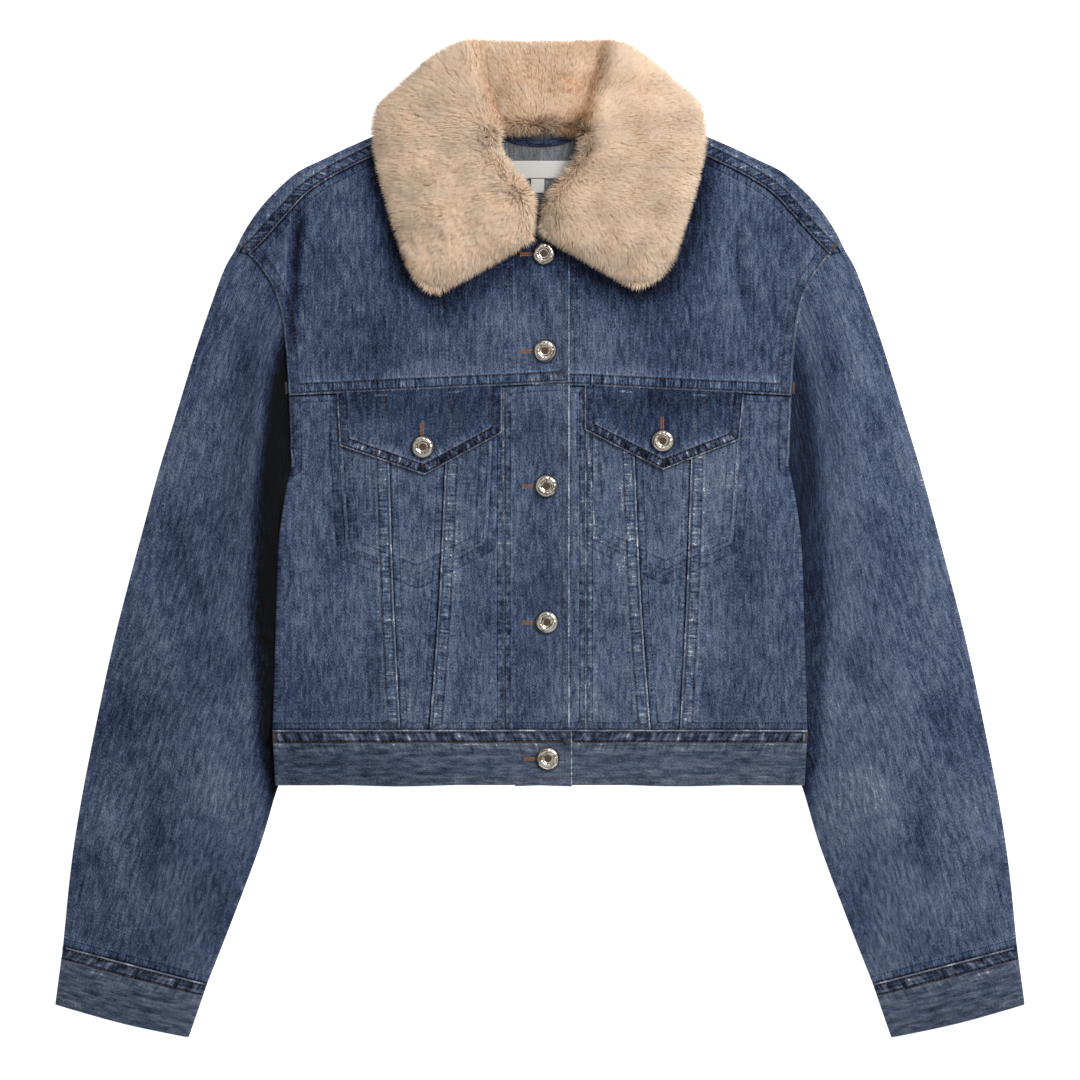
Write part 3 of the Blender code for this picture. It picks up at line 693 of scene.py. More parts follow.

# %% [markdown]
# ## Folds and creases
# Laid cloth is never flat. A few long waves roll through the whole front, and single creases run
# where the cloth was last bent: beside the armholes, above the chest seam, across the elbows.
# Each is a row of a table, a soft trough or ridge with its own bow, width and depth. A trough
# is painted darker as shade and a ridge paler as a highlight, so creases change the tone as well as the
# height.

# %% Creases
WAVES = table(
    "length turn start height",
    (150, 12, 0.4, 0.55),
    (97, 78, 2.0, 0.35),
    (61, 140, 1.1, 0.22),
    (43, 100, 0.3, 0.14),
)
FRONT_CREASES = table(
    "x0 y0 x1 y1 bow width height",
    (-188.0, 288, -198, 132, -3.0, 4.0, -1.9),
    (-198.0, 262, -203.0, 196, -2.0, 3.0, 0.8),
    (-180.0, 262, -186.0, 190, -4.0, 6.0, 0.8),
    (157, 262, 174, 166, -5.0, 5.0, -1.5),
    (168, 258, 188, 180, -6.0, 6.0, 0.9),
    (146, 240, 158, 160, -4.0, 7.0, 0.7),
    (184, 222, 196, 160, -3.0, 3.6, -0.9),
    (-128, 190, -140, 132, 4.0, 6.0, -0.7),
    (-96, 176, -100, 130, 3.0, 7.0, 0.5),
    (66, 178, 60, 130, 3.0, 6.0, -0.6),
    (118, 170, 112, 124, -3.0, 7.0, -0.6),
    (-16, 214, 12, 132, 6.0, 5.0, -0.9),
    (-6, 226, 16, 168, 3.0, 6.0, 0.7),
    (-8, 116, -2, 60, 3.0, 6.0, -0.5),
    (4, 20, 12, -50, -3.0, 5.0, -0.5),
    (-160, 58, -168, -50, 6.0, 9.0, -0.8),
    (-186, 20, -182, -110, -5.0, 8.0, 0.8),
    (-144, -20, -150, -130, 4.0, 9.0, 0.7),
    (-132, -64, -128, -146, -3.0, 6.0, -0.6),
    (160, 60, 170, -60, -5.0, 9.0, -0.8),
    (186, 26, 178, -96, 5.0, 8.0, 0.8),
    (142, -10, 150, -140, -6.0, 8.0, 0.7),
    (128, -84, 132, -148, 2.0, 6.0, -0.5),
    (-58, 30, -60, -70, 3.0, 6.0, -0.5),
    (-48, -76, -42, -146, 3.0, 5.0, 0.6),
    (58, 20, 62, -90, -4.0, 6.0, -0.5),
    (48, -90, 44, -148, -2.0, 5.0, 0.5),
)
# Tone only: painted shade in the dark crease beside each armhole and painted highlights on the ridges beside
# it.
FRONT_SHADE_AND_HIGHLIGHT = table(
    "x0 y0 x1 y1 bow width height",
    (-187, 296, -199, 112, -3.0, 6.0, -0.12),
    (-203, 246, -205, 186, -1.5, 1.7, 0.12),
    (-208, 226, -208, 178, -1.0, 1.5, 0.1),
    (-160, 262, -150, 190, 2.0, 14.0, 0.05),
    (172, 272, 188, 176, -6.0, 5.0, -0.08),
    (196, 240, 203, 184, -2.0, 1.7, 0.08),
)
# Painted shadow of the collar on the front, darkest next to the fur and fading outwards.
COLLAR_SHADOW = table("x y", (139, 332), (134, 311), (116, 238), (104, 211), (78, 195), (52, 203), (16, 228))
SHADOW_DEPTH = {"near": (12.0, -0.26), "far": (30.0, -0.07)}
# Painted shade in crease troughs and painted highlight on crease ridges, per millimetre of crease height.
CREASE_SHADING = 0.11
# Painted light: the front is painted lighter towards the wearer's left, the side facing the lamp, and darker
# towards the right.
SIDE_LIGHT_SLOPE = 0.03


def crease_height(x, y, rows):
    """The height of all the creases at each point."""
    z = np.zeros(np.shape(x))
    for x0, y0, x1, y1, bow, width, height in zip(*rows.values()):
        run = np.array([x1 - x0, y1 - y0])
        size = float(np.linalg.norm(run))
        run /= size
        share = ((x - x0) * run[0] + (y - y0) * run[1]) / size
        sideways = (x - x0) * -run[1] + (y - y0) * run[0] - bow * np.sin(math.pi * np.clip(share, 0, 1))
        ends = smooth(share / 0.3) * smooth((1 - share) / 0.3)
        z += height * ends * np.exp(-((sideways / width) ** 2))
    return z


def rolling(x, y, share=1.0):
    """Long low waves through the cloth."""
    z = np.zeros(np.shape(x))
    for length, turn, start, height in zip(*WAVES.values()):
        turn = math.radians(turn)
        z += height * np.sin(2 * math.pi * (x * math.cos(turn) + y * math.sin(turn)) / length + start)
    return z * share


def body_relief(x, y):
    return rolling(x, y, 0.8) + crease_height(x, y, FRONT_CREASES)


def body_tone(x, y):
    """Painted shade and highlights along the creases, painted shade beside the armholes, painted shadow under
    the collar, and painted light lighter on the side towards the lamp.
    """
    away = distance(np.abs(x), y, points(COLLAR_SHADOW))[1]
    collar_shade = sum(depth * np.exp(-((away / reach) ** 2)) for reach, depth in SHADOW_DEPTH.values())
    collar_shade = collar_shade + crease_height(x, y, FRONT_SHADE_AND_HIGHLIGHT)
    return CREASE_SHADING * crease_height(x, y, FRONT_CREASES) + collar_shade + SIDE_LIGHT_SLOPE * x / 200


def front_height(x, y, side, extra=0.0):
    """The outer face of a front. The right one climbs onto the left one's edge."""
    lap = LAP_RISE * smooth((x * side + LAP_FLAT_FROM + LAP_RAMP) / LAP_RAMP) if side == RIGHT else 0
    return FLAT + lift(x, y) + lap + body_relief(x, y) + extra


print("creases on the front:", len(FRONT_CREASES["x0"]))

# %% [markdown]
# ## Fronts
# Each front is a yoke above the chest seam and four panels below it: the buttoned edge, a centre
# panel, a narrow middle panel and a side panel that runs round to the back. Two V-shaped felled
# seams join the panels, and stitching through the fronts outlines the pocket bags inside.

# %% Front yokes
FRONT_SPACING = 2.6
FACING_LINE = {RIGHT: -25.6, LEFT: 28.0}
LINE_PERIOD = 6.0


def placed(line, side):
    """A line measured outwards from the centre line, on its own side."""
    return np.array(line, float) * (side, 1)


def draw_line(grid, path, width, edge):
    """A line of wear away from any seam, such as where a layer underneath ends."""
    along, away = distance(grid[..., 0], grid[..., 1], np.array(path))
    grid[..., C["line_s"]] = along / LINE_PERIOD
    grid[..., C["line_d"]] = away / width * BAND_UNITS
    grid[..., C["line_e"]] = edge
    return grid


def make_front_yoke(side):
    x = np.linspace(ARMHOLE["x"][FRONT_YOKE_ROW], -LAP[side], 90)
    bottom = np.stack([x, yoke_seam_y(x, side)], axis=1)
    front_top = (-LAP[side], FRONT_NECK["y"][0])
    neck = through(np.concatenate([[front_top], points(FRONT_NECK)]), 5)
    edge = np.concatenate([[bottom[-1]], neck])
    sleeve_side = armhole[SHOULDER_SEAM_ROW * LINE_STEPS : FRONT_YOKE_ROW * LINE_STEPS + 1][::-1]
    top = shoulder_seam + (0, 0.8)
    u = graded(220, FRONT_SPACING)
    v = graded(115, FRONT_SPACING)
    plan = placed(patch(bottom, top, sleeve_side, edge, u, v), side)
    grid = layer(plan, lambda x, y: front_height(x, y, side), tone=body_tone)
    sew(grid, "yoke", placed(bottom, side))
    sew(grid, "armhole", placed(sleeve_side, side))
    sew(grid, "placket", placed([bottom[-1], front_top], side))
    sew(grid, "under", placed(shoulder_seam, side))
    facing = FACING_LINE[side]
    draw_line(grid, [(facing, 120), (facing, 250)], 4.0, 0.35)
    return cloth(f"front_yoke_{SIDE_NAMES[side]}", [(grid, 1)])


for each in (RIGHT, LEFT):
    made = make_front_yoke(each)
    print(made.name, len(made.data.polygons), "faces")

# %% [markdown]
# The lower panels reach a little way under the yoke, the waistband and the felled seams, as real
# seam allowances do, so no daylight shows between pieces.

# %% Lower front panels
POCKET_OUTLINE = {
    RIGHT: ((159.2, 112), (159.2, 72), (153.4, -8.0), (97.6, -30), (43.8, -2), (39.4, 74), (39.4, 112)),
    LEFT: ((158.8, 112), (158.8, 74), (153.0, -2.0), (99.2, -26.8), (43.4, 1.6), (38.2, 76), (38.2, 112)),
}
POCKET_RISE = 0.7
POCKET_EDGE = 1.6
POCKET_TONE = 0.055
PANEL_TONE = {"placket": 0.025, "front_centre": 0.045, "front_middle": 0.055, "front_side": 0.0}


def pocket_inside(x, y, side):
    """How far inside the pocket's outline each point is."""
    corners = np.array(POCKET_OUTLINE[side])
    inside = np.full(x.shape, np.inf)
    for a, b in zip(corners, corners[1:]):
        run = (b - a) / np.linalg.norm(b - a)
        inside = np.minimum(inside, (x * side - a[0]) * run[1] - (y - a[1]) * run[0])
    return inside


def lower_panel(name, inner, outer, side, seams, under=(0, 0), far_fold=False):
    """A lower front panel. inner and outer give X from Y, and under is how far each side tucks in."""
    levels = np.linspace(YOKE_SEAM_SIDE_Y, WAIST_Y - UNDERLAP, 60)
    inner_x = np.array([inner(y) for y in levels]) - under[0]
    outer_x = np.array([outer(y) for y in levels]) + under[1]
    inner_line = np.stack([inner_x, levels], axis=1)[::-1]
    outer_line = np.stack([outer_x, levels], axis=1)[::-1]
    for line in (inner_line, outer_line):
        line[-1, 1] = yoke_seam_y(line[-1, 0], side) + UNDERLAP
    share = np.linspace(0, 1, 30)[:, None]
    bottom = inner_line[0] + (outer_line[0] - inner_line[0]) * share
    top = inner_line[-1] + (outer_line[-1] - inner_line[-1]) * share
    top[:, 1] = yoke_seam_y(top[:, 0], side) + UNDERLAP
    width = float(np.ptp(bottom[:, 0]))
    spacing = FRONT_SPACING if width > 30 else FRONT_SPACING * 0.8
    u = graded(width, spacing, last=FOLD_STEPS if far_fold else SEAM_STEPS)
    plan = placed(patch(bottom, top, inner_line, outer_line, u, graded(270, FRONT_SPACING)), side)
    inside = pocket_inside(plan[..., 0], plan[..., 1], side)
    x, y = plan[..., 0], plan[..., 1]
    bag = POCKET_RISE * smooth(inside / POCKET_EDGE)
    grid = layer(plan, front_height(x, y, side) + bag, tone=body_tone)
    grid[..., C["tone"]] += PANEL_TONE[name] + POCKET_TONE * smooth(inside / 3)
    draw_line(grid, placed(POCKET_OUTLINE[side], side), 10.0, 0.5)
    grid[..., C["line_e"]] *= (inside > -1.5) * (0.3 + 0.7 * smooth((y + 14) / 20))
    seam_x = np.linspace(inner_x[0] - 3, outer_x[0] + 3, 30)
    yoke_line = placed(np.stack([seam_x, yoke_seam_y(seam_x, side)], axis=1), side)
    sew(grid, "under", yoke_line)
    sew(grid, "under", placed([(inner_x[-1] - 3, WAIST_Y), (outer_x[-1] + 3, WAIST_Y)], side))
    for kind, line in seams:
        sew(grid, kind, placed(line, side))
    tucked = 2 - smooth((y - WAIST_Y - 0.5) / 3) - smooth((yoke_seam_y(x * side, side) - y - 0.5) / 3)
    grid[..., C["z"]] -= tucked * (0.5 + grid[..., C["rise"]])
    if far_fold:
        weight = smooth((72 - grid[:, -1, 1]) / 13)
        grid = folded_far(grid, 1, weight=weight, angles=SPLIT_ANGLES)
    return cloth(f"{name}_{SIDE_NAMES[side]}", [(grid, 1)])


def make_lower_front(side):
    lap, seam = -LAP[side], PLACKET_SEAM[side]
    seam_line = [(seam, 130), (seam, WAIST_Y)]
    lap_line = [(lap, 130), (lap, WAIST_Y)]

    def inner_v(y):
        return x_on(inner_v_seam, y)

    def outer_v(y):
        return x_on(outer_v_seam, y)

    placket_kinds = [("placket", lap_line), ("placket_seam", seam_line)]
    lower_panel("placket", lambda y: lap, lambda y: seam - 0.2, side, placket_kinds)
    centre_kinds = [("placket_seam", seam_line), ("strip", inner_v_seam)]
    lower_panel("front_centre", lambda y: seam + 0.2, inner_v, side, centre_kinds)
    middle_kinds = [("under", inner_v_seam), ("under", outer_v_seam)]
    lower_panel("front_middle", inner_v, outer_v, side, middle_kinds, (UNDERLAP, UNDERLAP))
    side_kinds = [("strip", outer_v_seam), ("armhole", armhole[FRONT_YOKE_ROW * LINE_STEPS :])]
    lower_panel("front_side", outer_v, lambda y: x_on(body_edge, y), side, side_kinds, far_fold=True)


for each in (RIGHT, LEFT):
    make_lower_front(each)
print("front faces:", sum(len(o.data.polygons) for n, o in pieces.items() if "front" in n or "placket" in n))

# %% [markdown]
# ## Back
# The back yoke is one piece that comes forward over the shoulders, where a roped, felled seam
# joins it to the front yokes. Its top edge is therefore a fold. The collar and the back neck show
# its inner face, the grey reverse of the denim. Below it the back panel runs down to the waistband
# and round to the side seams.

# %% Back yoke
BACK_SPACING = 5.0
BACK_CREASES = table(
    "x0 y0 x1 y1 bow width height",
    (-150, 250, -165, 170, 4.0, 7.0, 1.0),
    (150, 244, 160, 176, -4.0, 7.0, 0.9),
    (-60, 150, -75, 20, 6.0, 10.0, 0.9),
    (70, 130, 62, -30, -6.0, 11.0, 0.9),
    (-140, 90, -150, -60, 5.0, 9.0, 0.8),
    (148, 60, 140, -90, -5.0, 10.0, 0.8),
    (-20, 0, 10, -120, 4.0, 9.0, 0.7),
)


def under_relief(x, y):
    """Creases on the underside press up into the cloth, away from the table."""
    inside = smooth((190 - np.abs(x)) / 20)
    return inside * np.maximum(crease_height(x, y, BACK_CREASES), 0)


def make_back_yoke():
    neck_x = np.linspace(NECK_HALF_WIDTH, -NECK_HALF_WIDTH, 90)[1:-1]
    neck = np.stack([neck_x, neck_y(neck_x)], axis=1)
    top = np.concatenate([shoulder_fold, neck, placed(shoulder_fold, RIGHT)[::-1]])
    seam_x = ARMHOLE["x"][BACK_YOKE_ROW]
    bottom = np.array([(seam_x, BACK_YOKE_Y), (-seam_x, BACK_YOKE_Y)])
    side = armhole[: BACK_YOKE_ROW * LINE_STEPS + 1][::-1]
    u = lengths(top) / lengths(top)[-1]
    v = graded(170, BACK_SPACING, last=FOLD_STEPS)
    plan = patch(bottom, top, side, placed(side, RIGHT), u, v)
    grid = layer(plan, under_relief)
    sew(grid, "yoke", bottom)
    grid[..., C["z"]] -= 2 * np.maximum(grid[..., C["rise"]], 0)
    grid[..., C["z"]] = np.maximum(grid[..., C["z"]], 0)
    over = (np.abs(top[:, 0]) > NECK_HALF_WIDTH - 1).astype(float)
    layers = [(folded_far(grid.transpose(1, 0, 2), -1, weight=over), -1)]
    fold_to_seam = graded(16, 1.6, first=(3.6,))
    for each in (RIGHT, LEFT):
        seam = at_shares(shoulder_seam, lengths(shoulder_fold) / lengths(shoulder_fold)[-1])
        ear = shoulder_fold[:, None] + (seam - shoulder_fold)[:, None] * fold_to_seam[None, :, None]
        ear = placed(ear, each)
        front = layer(ear, lambda x, y: FLAT + 0.4 * body_relief(x, y))
        front[:, 0, C["z"]] = FLAT
        sew(front, "shoulder", placed(shoulder_seam, each))
        front[:, 0, C["z"]] = FLAT
        layers.append((folded(front, 1), 1))
    return cloth("back_yoke", layers)


print(make_back_yoke().name, len(pieces["back_yoke_cloth"].data.polygons), "faces")

# %% [markdown]
# The back panel hangs from the yoke seam to the waistband, under both fronts. Only what shows
# through the open neck is ever seen from above.

# %% Back panel
def make_back_panel():
    levels = body_edge[BACK_YOKE_ROW * LINE_STEPS :][::-1]
    right, left = placed(levels, RIGHT), levels
    bottom, top = np.array([right[0], left[0]]), np.array([right[-1], left[-1]])
    u = graded(400, BACK_SPACING * 1.5, first=FOLD_STEPS, last=FOLD_STEPS)
    v = graded(310, BACK_SPACING)
    plan = patch(bottom, top, right, left, u, v)
    grid = layer(plan, lambda x, y: lift(x, y) + under_relief(x, y))
    sew(grid, "under", top)
    sew(grid, "under", bottom)
    draw_line(grid, placed([(96, BACK_YOKE_Y), (70, WAIST_Y)], LEFT), 9.0, 0.4)
    weight = smooth((72 - grid[:, 0, 1]) / 13)
    grid = folded(grid, -1, weight=weight, angles=SPLIT_ANGLES)
    grid = folded_far(grid, -1, weight=weight, angles=SPLIT_ANGLES)
    return cloth("back_panel", [(grid, -1)])


print(make_back_panel().name, len(pieces["back_panel_cloth"].data.polygons), "faces")

# %% [markdown]
# ## Waistband
# The waistband and the cuffs are folded double and stand up from the body. Under their top row of
# stitches the cloth has shrunk into blocky puckers, and below that it is creased lengthwise, so
# its grain and streaks run along the band and not down it.

# %% Waistband
BAND_WALL = 1.5
BAND_SPACING = 1.9
BAND_CREASES = table(
    "x0 y0 x1 y1 bow width height",
    (-205, -168, -150, -166, 2.0, 1.5, -0.6),
    (-160, -171, -96, -166, -2.0, 1.6, -0.6),
    (-120, -176, -40, -172, 2.0, 1.8, -0.5),
    (-200, -180, -140, -182, 1.5, 1.8, -0.5),
    (-110, -186, -52, -184, -1.5, 1.8, -0.45),
    (-70, -168, -14, -170, -1.5, 1.6, -0.6),
    (-40, -182, -8, -178, 2.0, 2.0, -0.5),
    (34, -168, 92, -166, 1.5, 1.6, -0.6),
    (80, -170, 150, -171, -2.0, 1.6, -0.6),
    (140, -167, 206, -172, 1.5, 1.6, -0.6),
    (44, -180, 110, -177, 2.0, 1.8, -0.5),
    (100, -186, 170, -184, -1.5, 1.8, -0.5),
    (150, -178, 204, -183, 1.5, 2.0, -0.45),
    (-182, -189, -120, -190, 1.0, 1.6, -0.35),
    (46, -190, 120, -189, -1.0, 1.6, -0.35),
)
HEM_WAVE = 0.9
HEM_WAVE_LENGTH = 150
WRINKLE_SHADE = 0.26
WRINKLE_HIGHLIGHT = 0.16
BAND_HEIGHT = 0.6


def wrinkle_shading(x, y, rows, below):
    """A wrinkle's trough takes painted shade, and the ridge this far below it a painted highlight."""
    return WRINKLE_SHADE * crease_height(x, y, rows) - WRINKLE_HIGHLIGHT * crease_height(x, y + below, rows)


# The band's tone: painted shade and highlights of its wrinkles, a small random variation, and painted light
# towards the lamp's side.
def band_tone(x, y):
    rows = wrinkle_shading(x, y, BAND_CREASES, 2.6)
    return rows + 0.02 * np.sin(x / 23) * np.sin(x / 9.1) + SIDE_LIGHT_SLOPE * x / 200


def make_waistband(side):
    first = -BAND_LAP[side]
    widths = (x_on(body_edge, WAIST_Y), BAND_MIDDLE[0], HEM_HALF_WIDTH)
    levels = (WAIST_Y + 0.5, BAND_MIDDLE[1], HEM_Y)
    top = np.array([(first, levels[0]), (widths[0], levels[0])])
    hem_x = np.linspace(first, widths[2], 60)
    bottom = np.stack([hem_x, HEM_Y + HEM_WAVE * np.sin(hem_x / HEM_WAVE_LENGTH * 2 * math.pi)], axis=1)
    outer = through([bottom[-1], (widths[1], levels[1]), top[-1]])
    u = graded(widths[0] - first, BAND_SPACING, last=FOLD_STEPS)
    plan = placed(patch(bottom, top, np.array([bottom[0], top[0]]), outer, u, graded(44, BAND_SPACING)), side)
    x, y = plan[..., 0], plan[..., 1]
    relief = 1.5 * crease_height(x, y, BAND_CREASES) + 0.25 * rolling(x * 3, y * 2.5)
    grid = layer(plan, front_height(x, y, side, BAND_HEIGHT) + relief, (y, x), band_tone)
    sew(grid, "waist", placed(top, side))
    sew(grid, "turned", placed(bottom, side))
    sew(grid, "placket", placed([bottom[0], top[0]], side))
    grid = folded_far(grid, 1, angles=SPLIT_ANGLES)
    return cloth(f"waistband_{SIDE_NAMES[side]}", [(grid, 1)], band_denim, BAND_WALL)


def make_waistband_back():
    wide, low = x_on(body_edge, WAIST_Y), HEM_HALF_WIDTH
    top = np.array([(-wide, WAIST_Y), (wide, WAIST_Y)])
    bottom = np.array([(-low, HEM_Y), (low, HEM_Y)])
    side = through([bottom[-1], BAND_MIDDLE, top[-1]])
    u = graded(2 * wide, BACK_SPACING, first=FOLD_STEPS, last=FOLD_STEPS)
    plan = patch(bottom, top, placed(side, RIGHT), side, u, graded(44, 2.4))
    grid = layer(plan, lift, (plan[..., 1], plan[..., 0]))
    sew(grid, "turned", bottom)
    sew(grid, "under", top)
    grid = folded(grid, -1, angles=SPLIT_ANGLES)
    grid = folded_far(grid, -1, angles=SPLIT_ANGLES)
    return cloth("waistband_back", [(grid, -1)], band_denim, BAND_WALL)


for made in (make_waistband(RIGHT), make_waistband(LEFT), make_waistband_back()):
    print(made.name, len(made.data.polygons), "faces")

# %% [markdown]
# ## Sleeves
# A laid sleeve is a tube pressed nearly flat: an upper and a lower layer that meet at two folds.
# It still holds some air, so it swells along its middle and its folds are round. Beside the body
# it dives under the lifted side panel, which makes the darkest shadow on the jacket; painted shade darkens
# the sleeve there too.

# %% Sleeve shapes
SLEEVE = table(
    "outer_x outer_y inner_x inner_y",
    (244, 231, 199, 59),
    (252, 217, 201.5, 42),
    (261.6, 191.6, 204.0, 15),
    (275.2, 151.6, 205, -5),
    (291, 100, 199, -35),
    (305, 54, 193, -65),
    (318, 6, 191.5, -97),
    (329.5, -37, 192, -130),
    (342.4, -88.4, 199, -172),
    (355, -148, 210, -199),
    (366.8, -208.4, 223, -242.5),
    (375, -262, 244, -299),
    (381.4, -325, 266, -355),
)
CUFF = table(
    "outer_x outer_y inner_x inner_y",
    (381.4, -325, 266, -355),
    (384.6, -349, 273.5, -377),
    (387.6, -371.6, 280.8, -398),
)
SLEEVE_SPACING = 3.1
UNDER_SPACING = 9.0
SLEEVE_LENGTH = 560
HEAD_TUCK = 2.0
SLEEVE_SWELL = 6.5
SWELL_FROM_ARMHOLE = 0.16
SWELL_AT_CUFF = 0.45
SLEEVE_CREASES = {
    RIGHT: table(
        "x0 y0 x1 y1 bow width height",
        (-232, 190, -262, 96, 8.0, 9.0, -0.9),
        (-246, 176, -284, 70, 6.0, 9.0, 0.9),
        (-222, 120, -240, 20, 4.0, 6.0, 0.8),
        (-300, 40, -262, -60, -8.0, 9.0, -0.9),
        (-316, -20, -286, -120, -6.0, 10.0, 0.9),
        (-232, -40, -258, -140, 6.0, 9.0, -0.8),
        (-340, -100, -318, -190, -5.0, 8.0, -0.8),
        (-270, -140, -262, -230, 5.0, 9.0, 0.8),
        (-350, -200, -334, -290, 4.0, 8.0, 0.7),
        (-300, -210, -312, -300, -5.0, 7.0, -0.8),
        (-264, -260, -288, -330, -3.0, 5.0, -0.6),
        (-350, -270, -346, -318, 2.0, 4.0, -0.5),
    ),
    LEFT: table(
        "x0 y0 x1 y1 bow width height",
        (228, 196, 246, 110, -6.0, 8.0, -0.9),
        (244, 190, 274, 100, -6.0, 9.0, 0.8),
        (262, 120, 300, 20, -8.0, 10.0, -0.9),
        (226, 60, 258, -30, 8.0, 9.0, 0.9),
        (252, 30, 290, -60, 6.0, 8.0, -0.8),
        (306, 0, 326, -90, -5.0, 8.0, 0.8),
        (220, -60, 262, -140, 8.0, 8.0, -0.9),
        (262, -70, 300, -160, 6.0, 8.0, 0.8),
        (318, -110, 340, -200, -5.0, 9.0, -0.8),
        (250, -170, 282, -250, 6.0, 9.0, 0.9),
        (300, -200, 318, -290, -4.0, 8.0, -0.8),
        (346, -220, 352, -300, 4.0, 7.0, 0.6),
        (286, -270, 296, -340, -3.0, 5.0, -0.6),
    ),
}
# Painted shadow where each sleeve dives under the body, deeper on the right sleeve, and painted light that
# makes the left sleeve, on the lamp's side, lighter than the right.
SLEEVE_SHADE = {RIGHT: 0.62, LEFT: 0.34}
SHADE_EDGE = table("y x", (-210, 205), (-160, 217), (-48, 220), (32, 218), (100, 209), (150, 201), (190, 180))
SHADE_SOFTNESS = 17.0
SLEEVE_LIGHT_OFFSET = {RIGHT: -0.01, LEFT: 0.06}


def tube_edges(sections):
    outer = np.stack([sections["outer_x"], sections["outer_y"]], axis=1)
    inner = np.stack([sections["inner_x"], sections["inner_y"]], axis=1)
    return outer, inner


def under_columns(count, spacing):
    """Fewer columns for the flat layer underneath, with the folds' own columns kept."""
    between = np.linspace(1, count - 2, max(4, round(count * spacing / UNDER_SPACING))).round().astype(int)
    return np.concatenate([[0], between, [count - 1]])


def make_sleeve(side):
    outer, inner = (through(edge) for edge in tube_edges(SLEEVE))
    head, wrist = armhole, np.array([outer[-1], inner[-1]])
    u = graded(125, SLEEVE_SPACING, first=FOLD_STEPS, last=FOLD_STEPS)
    v = graded(480, SLEEVE_SPACING)
    plan = patch(head, wrist, outer, inner, u, v)
    head_y = plan[0, :, 1]
    plan[0, :, 0] -= HEAD_TUCK * smooth((220 - head_y) / 20) * (1 - smooth((70 - head_y) / 10))
    plan[-1] += (wrist[1] - wrist[0])[::-1] * (1, -1) / 120 * -UNDERLAP
    plan = placed(plan, side)
    down, across = np.array(v)[:, None], np.array(u)[None, :]
    width = np.linalg.norm(plan[:, -1] - plan[:, 0], axis=1)[:, None]
    grain = ((across - 0.5) * width, np.broadcast_to(-down * SLEEVE_LENGTH, plan.shape[:2]))
    along_sleeve = smooth(down / SWELL_FROM_ARMHOLE) * (1 - (1 - SWELL_AT_CUFF) * smooth((down - 0.8) / 0.2))
    round_up = np.sin(math.pi * np.clip(across, 0, 1)) ** 0.75
    x, y = plan[..., 0], plan[..., 1]
    # The sleeve's tone: painted shadow beside the body, painted light for its side, and painted shade and
    # highlights along its creases.
    shade_x = np.interp(y, SHADE_EDGE["y"], SHADE_EDGE["x"])
    deep = 1 - smooth((np.abs(x) - shade_x) / SHADE_SOFTNESS)
    shade = SLEEVE_LIGHT_OFFSET[side] - SLEEVE_SHADE[side] * deep
    folds = crease_height(x, y, SLEEVE_CREASES[side]) + rolling(x * 1.4, y * 1.2, 0.9)
    tone = CREASE_SHADING * crease_height(x, y, SLEEVE_CREASES[side]) + shade
    creased = folds * smooth(across * (1 - across) * 12) * smooth(down / 0.05)
    height = FLAT + SLEEVE_SWELL * along_sleeve * round_up + creased
    upper = layer(plan, height, grain, tone)
    upper[:, (0, -1), C["z"]] = FLAT
    sew(upper, "sleeve_head", placed(armhole[: UNDERARM_ROW * LINE_STEPS], side))
    sew(upper, "under", placed(wrist, side))
    upper[0, :, C["z"]] -= 1.2
    lower = layer(plan, 0.0, grain)[:, under_columns(plan.shape[1], SLEEVE_SPACING)]
    layers = []
    for grid, up in ((upper, 1), (lower, -1)):
        layers.append((folded_far(folded(grid, up), up), up))
    return cloth(f"sleeve_{SIDE_NAMES[side]}", layers)


for each in (RIGHT, LEFT):
    made = make_sleeve(each)
    print(made.name, len(made.data.polygons), "faces")

# %% [markdown]
# A cuff is a doubled band round the wrist, pressed flat and wrinkled across by its stitching.

# %% Cuffs
CUFF_SPACING = 1.8
CUFF_RISE = 0.5
CUFF_CREASES = {
    side: table(
        "x0 y0 x1 y1 bow width height",
        *[(side * x0, y0, side * x1, y1, side * bow, 1.5, height) for x0, y0, x1, y1, bow, height in rows],
    )
    for side, rows in {
        RIGHT: (
            (380, -341, 350, -352, 2.0, -0.6),
            (362, -350, 316, -358, -2.0, -0.6),
            (330, -361, 284, -371, 1.5, -0.6),
            (378, -354, 340, -366, 1.5, -0.5),
            (344, -372, 296, -382, -1.5, -0.5),
            (380, -364, 350, -374, 1.0, -0.4),
        ),
        LEFT: (
            (380, -338, 340, -350, -2.0, -0.6),
            (348, -348, 306, -360, 2.0, -0.6),
            (316, -360, 282, -368, -1.5, -0.6),
            (376, -352, 332, -362, 1.5, -0.5),
            (350, -368, 300, -380, -1.5, -0.5),
            (326, -380, 290, -388, 1.0, -0.4),
        ),
    }.items()
}


